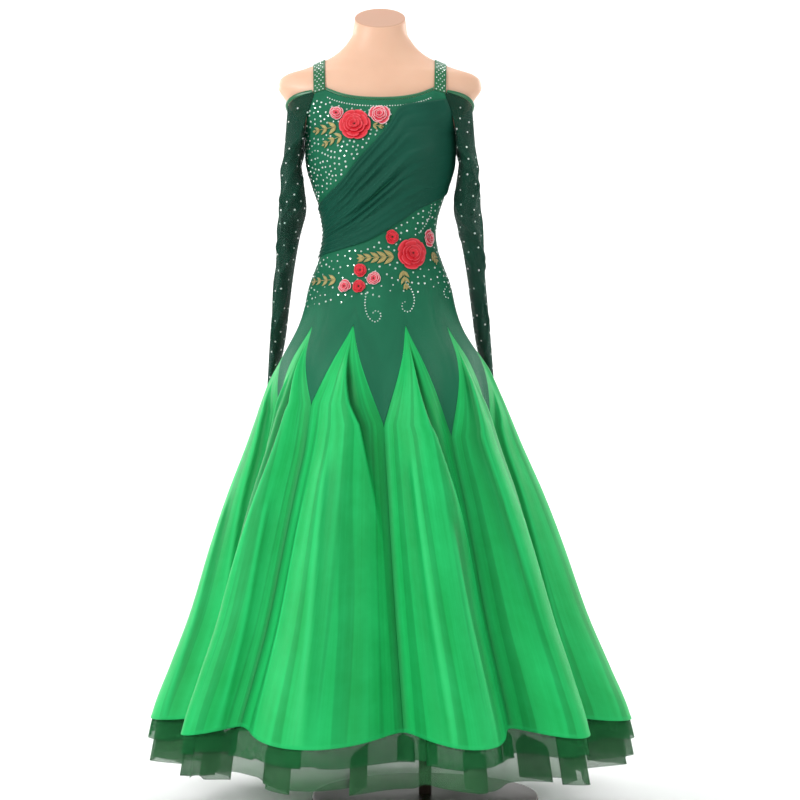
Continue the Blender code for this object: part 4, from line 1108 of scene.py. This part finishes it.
def leaflet(x, z, u, v, angle, length, half, lift):
    b = np.linspace(0, 1, 11)[:, None]
    a = np.linspace(-1, 1, 9)[None, :]
    wide = half * np.sin(pi * np.clip(b, 0.02, 0.985)) ** 0.8 * (1.15 - 0.45 * b)
    forward = length * b
    aside = wide * a
    du = u + forward * cos(angle) - aside * sin(angle)
    dv = v + forward * sin(angle) + aside * cos(angle)
    high = lift + 0.0007 * (1 - np.abs(a)) + 0.0003 * np.sin(9 * b + 4 * np.abs(a))
    return gridPiece("leaflet", onCloth(x, z, du, dv, applique["out"] + high)[:, ::-1], leafMaterial,
                     applique["leafThick"])


for index, (name, x0, z0, x1, z1, half, count) in enumerate(leaves):
    perMetre = float(shift(frontAzimuth(x0, z0), z0, 1.0) - frontAzimuth(x0, z0))
    reach = float(frontAzimuth(x1, z1) - frontAzimuth(x0, z0)) / perMetre
    length = sqrt(reach ** 2 + (z1 - z0) ** 2)
    heading = atan2(z1 - z0, reach)
    pieces = []
    for i in range(count):
        t = i / count
        u, v = reach * t, (z1 - z0) * t
        size = half * (1 - 0.40 * t) * 1.15
        for side in (-1, 1):
            lean = heading + side * (0.62 - 0.20 * t + 0.06 * sin(3 * i + index))
            pieces.append(leaflet(x0, z0, u, v, lean, size * 1.55, size * 0.30, 0.0004 + 0.0003 * (i % 2)))
    pieces.append(leaflet(x0, z0, reach * 0.86, (z1 - z0) * 0.86, heading, length * 0.16, half * 0.24,
                          0.0006))
    b = np.linspace(0, 1, 25)[:, None]
    a = np.linspace(-1, 1, 5)[None, :]
    stemRight = reach * b - 0.0006 * a * sin(heading)
    stemUp = (z1 - z0) * b + 0.0006 * a * cos(heading)
    stemPoints = onCloth(x0, z0, stemRight, stemUp, applique["out"] + 0.0012 - 0.0003 * a ** 2)
    pieces.append(gridPiece("stem", stemPoints[:, ::-1], leafMaterial, applique["leafThick"]))
    spray = joined("visual_" + name, pieces)
    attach(spray, "root")
    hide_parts(name)
print("leaves made")

# Rhinestones: one cut stone, copied to every place and joined by region
stones = dict(sides=8, table=0.55, high=0.55, sink=0.0002, chest=0.0021, neck=0.0016, hip=0.0021,
              sleeve=0.0019, strap=0.0016, seed=11, over=0.0007, thrown=2600, chestGap=0.0085,
              hipGap=0.0115, neckStep=0.0052, curlStep=0.0056, strapStep=0.0058, neckDrop=0.012)
# Curls of stones on the front: x and height of the points that each passes through
curls = [
    [(0.100, 1.164), (0.097, 1.140), (0.087, 1.118), (0.072, 1.099)],
    [(0.048, 1.012), (0.062, 0.990), (0.066, 0.969), (0.058, 0.951), (0.045, 0.953), (0.043, 0.965),
     (0.051, 0.970)],
    [(-0.026, 0.984), (-0.027, 0.960), (-0.021, 0.940), (-0.008, 0.930), (0.002, 0.938), (0.001, 0.948),
     (-0.008, 0.951), (-0.013, 0.946)],
    [(0.128, 1.001), (0.123, 0.991), (0.126, 0.981), (0.134, 0.979)],
]


def stoneFinish():
    made = Finish("crystal", (0.86, 0.95, 0.92), 0.10, Metallic=0.35, Coat_Weight=1.0, Coat_Roughness=0.03,
                  Specular_IOR_Level=0.8)
    at = made.place()
    shade = made.noise(at, 260.0, 1.0)
    made.drive("Base Color", made.blend(shade.smoothed(0.3, 0.7), four(rgb("b9dccb")), four(rgb("ffffff"))))
    made.drive("Roughness", 0.06 + shade * 0.12)
    return made.material


bpy.ops.object.select_all(action="DESELECT")
bpy.ops.mesh.primitive_cone_add(vertices=stones["sides"], radius1=1, radius2=stones["table"],
                                depth=stones["high"], location=(0, 0, stones["high"] / 2))
cutStone = bpy.context.object
bpy.ops.object.transform_apply(location=True)
stonePoints = np.array([v.co for v in cutStone.data.vertices])
stoneFaces = [list(face.vertices) for face in cutStone.data.polygons]
bpy.data.objects.remove(cutStone, do_unlink=True)
stoneMaterial = stoneFinish()
random = np.random.default_rng(stones["seed"])


def setStones(name, places, normals, radius):
    # One joined mesh of the cut stone at every place, each turned a little
    places, normals = np.asarray(places), unit(np.asarray(normals))
    side = unit(np.cross(normals, np.array([0.1, 0.2, 1.0])))
    up = np.cross(normals, side)
    turn = random.uniform(0, pi, len(places))[:, None]
    side, up = side * np.cos(turn) + up * np.sin(turn), up * np.cos(turn) - side * np.sin(turn)
    size = radius * random.uniform(0.88, 1.1, len(places))[:, None, None]
    local = stonePoints[None] * size
    points = (places[:, None] + side[:, None] * local[..., :1] + up[:, None] * local[..., 1:2]
              + normals[:, None] * (local[..., 2:] - stones["sink"]))
    count = len(stonePoints)
    faces = [[v + count * i for v in face] for i in range(len(places)) for face in stoneFaces]
    mesh = bpy.data.meshes.new(name)
    mesh.from_pydata(points.reshape(-1, 3).tolist(), [], faces)
    mesh.materials.append(stoneMaterial)
    made = bpy.data.objects.new(name, mesh)
    bpy.context.scene.collection.objects.link(made)
    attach(made, "root")


def facing(azimuth, z):
    return cloth(azimuth, z, 1.0) - cloth(azimuth, z, 0.0)


def spaced(candidates, gap):
    # Those of the candidates that keep a gap to all kept before them
    kept = []
    for place in candidates:
        if all(np.linalg.norm(place[:3] - other[:3]) > gap for other in kept):
            kept.append(place)
    return np.array(kept)


def clearOfMotifs(x, z, margin):
    clear = np.full(len(x), True)
    for _, roseX, roseZ, radius, _, _ in roses:
        clear &= np.hypot(x - roseX, z - roseZ) > radius + margin
    for _, x0, z0, x1, z1, half, _ in leaves:
        t = np.clip(((x - x0) * (x1 - x0) + (z - z0) * (z1 - z0)) / ((x1 - x0) ** 2 + (z1 - z0) ** 2), 0, 1)
        clear &= np.hypot(x - x0 - (x1 - x0) * t, z - z0 - (z1 - z0) * t) > half * 0.8 + margin
    return clear


def scattered(azimuth, z, keep, gap):
    # Places and normals of stones thrown on the front, clear of the motifs and of each other
    thrown = np.concatenate([cloth(azimuth, z, stones["over"]), facing(azimuth, z)], axis=-1)
    keep = keep & clearOfMotifs(thrown[:, 0], z, 0.002)
    return spaced(thrown[keep], gap)


# Front: the chest above the drape, and the hip band below it
thrown = stones["thrown"]
share, t = random.uniform(-0.97, 0.14, thrown), random.uniform(0, 1, thrown)
low, high = curve(drapeUpper, share) + 0.009, topHeight(share, dress["neckFront"]) - 0.018
z = low + (high - low) * t
dense = random.uniform(0, 1, thrown) < 1.1 - 0.35 * (share + 1)
chest = scattered(seamAzimuth(z) * share, z, (high > low) & dense, stones["chestGap"])
share, t = random.uniform(-0.97, 0.97, thrown), random.uniform(0, 1, thrown) ** 0.8
high = curve(drapeLower, share) - 0.008
low = 0.962 + 0.030 * ease((share + 0.6) / 1.2)
z = low + (high - low) * t
dense = random.uniform(0, 1, thrown) < 1.05 - 0.28 * (share + 1)
band = scattered(90 * share, z, dense, stones["hipGap"])
setStones("stones_chest", chest[:, :3], chest[:, 3:], stones["chest"])
setStones("stones_hip", band[:, :3], band[:, 3:], stones["hip"])

# The row under the neckline, front and back, and the curls
for name, middle, centre in (("front", 0, dress["neckFront"]), ("back", 180, dress["neckBack"])):
    share = np.linspace(-0.74, 0.74, 400)
    z = topHeight(share, centre) - stones["neckDrop"]
    azimuth = middle + seamAzimuth(z) * share
    path = cloth(azimuth, z, stones["over"])
    walked = walkedTo(path)
    at = np.interp(np.arange(0, walked[-1], stones["neckStep"]), walked, np.arange(400))
    azimuth, z = np.interp(at, np.arange(400), azimuth), np.interp(at, np.arange(400), z)
    setStones("stones_neck_" + name, cloth(azimuth, z, stones["over"]), facing(azimuth, z), stones["neck"])
places, normals = [], []
for curl in curls:
    path = spline(np.array(curl), np.linspace(0, len(curl) - 1, 200))
    walked = walkedTo(path)
    at = np.arange(0, walked[-1], stones["curlStep"])
    x, z = np.interp(at, walked, path[:, 0]), np.interp(at, walked, path[:, 1])
    azimuth = frontAzimuth(x, z)
    places.append(cloth(azimuth, z, 0.0008))
    normals.append(facing(azimuth, z))
setStones("stones_curls", np.concatenate(places), np.concatenate(normals), stones["neck"])

# Straps: three across. Sleeves: scattered far apart
for name, points in strapPoints.items():
    walked = walkedTo(points[:, 6])
    places, normals = [], []
    across, up = np.gradient(points, axis=1), np.gradient(points, axis=0)
    normal = unit(np.cross(across, up))
    for i, at in enumerate(np.arange(0.004, walked[-1] - 0.003, stones["strapStep"])):
        row = int(np.argmin(np.abs(walked - at)))
        for column in ((2, 6, 10) if i % 2 == 0 else (4, 8)):
            places.append(points[row, column])
            normals.append(normal[row, column])
    setStones("stones_strap_" + name, places, normals, stones["strap"])
for name, points in sleevePoints.items():
    across, up = np.gradient(points, axis=1), np.gradient(points, axis=0)
    normal = unit(np.cross(across, up))
    rows, columns = points.shape[:2]
    candidates = []
    for _ in range(1500):
        row, column = random.integers(4, rows - 6), random.integers(0, columns - 1)
        candidates.append(np.concatenate([points[row, column], normal[row, column]]))
    kept = spaced(candidates, 0.021)
    setStones("stones_sleeve_" + name, kept[:, :3] + kept[:, 3:] * 0.0002, kept[:, 3:], stones["sleeve"])
print("stones set", len(chest), len(band))

# Stage: a pale floor that runs up into a wall, and soft studio light
stage = dict(half=6.0, back=3.0, curve=1.2, high=5.0)
profile = [(-stage["half"], 0.0), (stage["back"] - stage["curve"], 0.0)]
profile += [(stage["back"] - stage["curve"] * (1 - sin(a)), stage["curve"] * (1 - cos(a)))
            for a in np.linspace(0.1, pi / 2, 14)]
profile += [(stage["back"], stage["high"])]
wallPoints = np.array([[[x, y, z - 0.0002] for x in (-stage["half"], stage["half"])] for y, z in profile])
stageFinish = Finish("stage_paper", (0.90, 0.90, 0.90), 0.9)
grain = stageFinish.noise(stageFinish.place(), 3.0)
stageFinish.drive("Base Color", stageFinish.blend(grain, (0.88, 0.88, 0.88, 1), (0.94, 0.94, 0.94, 1)))
behind = stageFinish.node("ShaderNodeNewGeometry", output="Backfacing")
stageFinish.drive("Alpha", 1 - behind)
backdrop = gridPiece("backdrop", wallPoints, stageFinish.material, 0)
backdrop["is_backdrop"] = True


def areaLight(name, place, target, size, power):
    data = bpy.data.lights.new(name, "AREA")
    data.shape = "RECTANGLE"
    data.size, data.size_y = size
    data.energy = power
    lamp = bpy.data.objects.new(name, data)
    lamp.location = place
    lamp.rotation_euler = (Vector(target) - Vector(place)).to_track_quat("-Z", "Y").to_euler()
    bpy.context.scene.collection.objects.link(lamp)


areaLight("key", (-2.6, -2.4, 2.3), (0, 0, 0.8), (1.2, 1.2), 70)
areaLight("fill", (2.8, -2.2, 1.6), (0, 0, 0.7), (1.8, 1.8), 16)
areaLight("top", (0, 0.2, 3.8), (0, 0, 0.8), (2.0, 2.0), 30)
areaLight("back_left", (-2.6, 1.6, 2.0), (0, 2.4, 1.2), (1.4, 2.0), 60)
areaLight("back_right", (2.6, 1.6, 2.0), (0, 2.4, 1.2), (1.4, 2.0), 60)
world = bpy.data.worlds.new("world")
bpy.context.scene.world = world
world.use_nodes = True
world.node_tree.nodes["Background"].inputs[0].default_value = (1, 1, 1, 1)
world.node_tree.nodes["Background"].inputs[1].default_value = 0.55
print("stage and lights made")

{"cad": plain(cadBounds), "now": plain(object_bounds())}
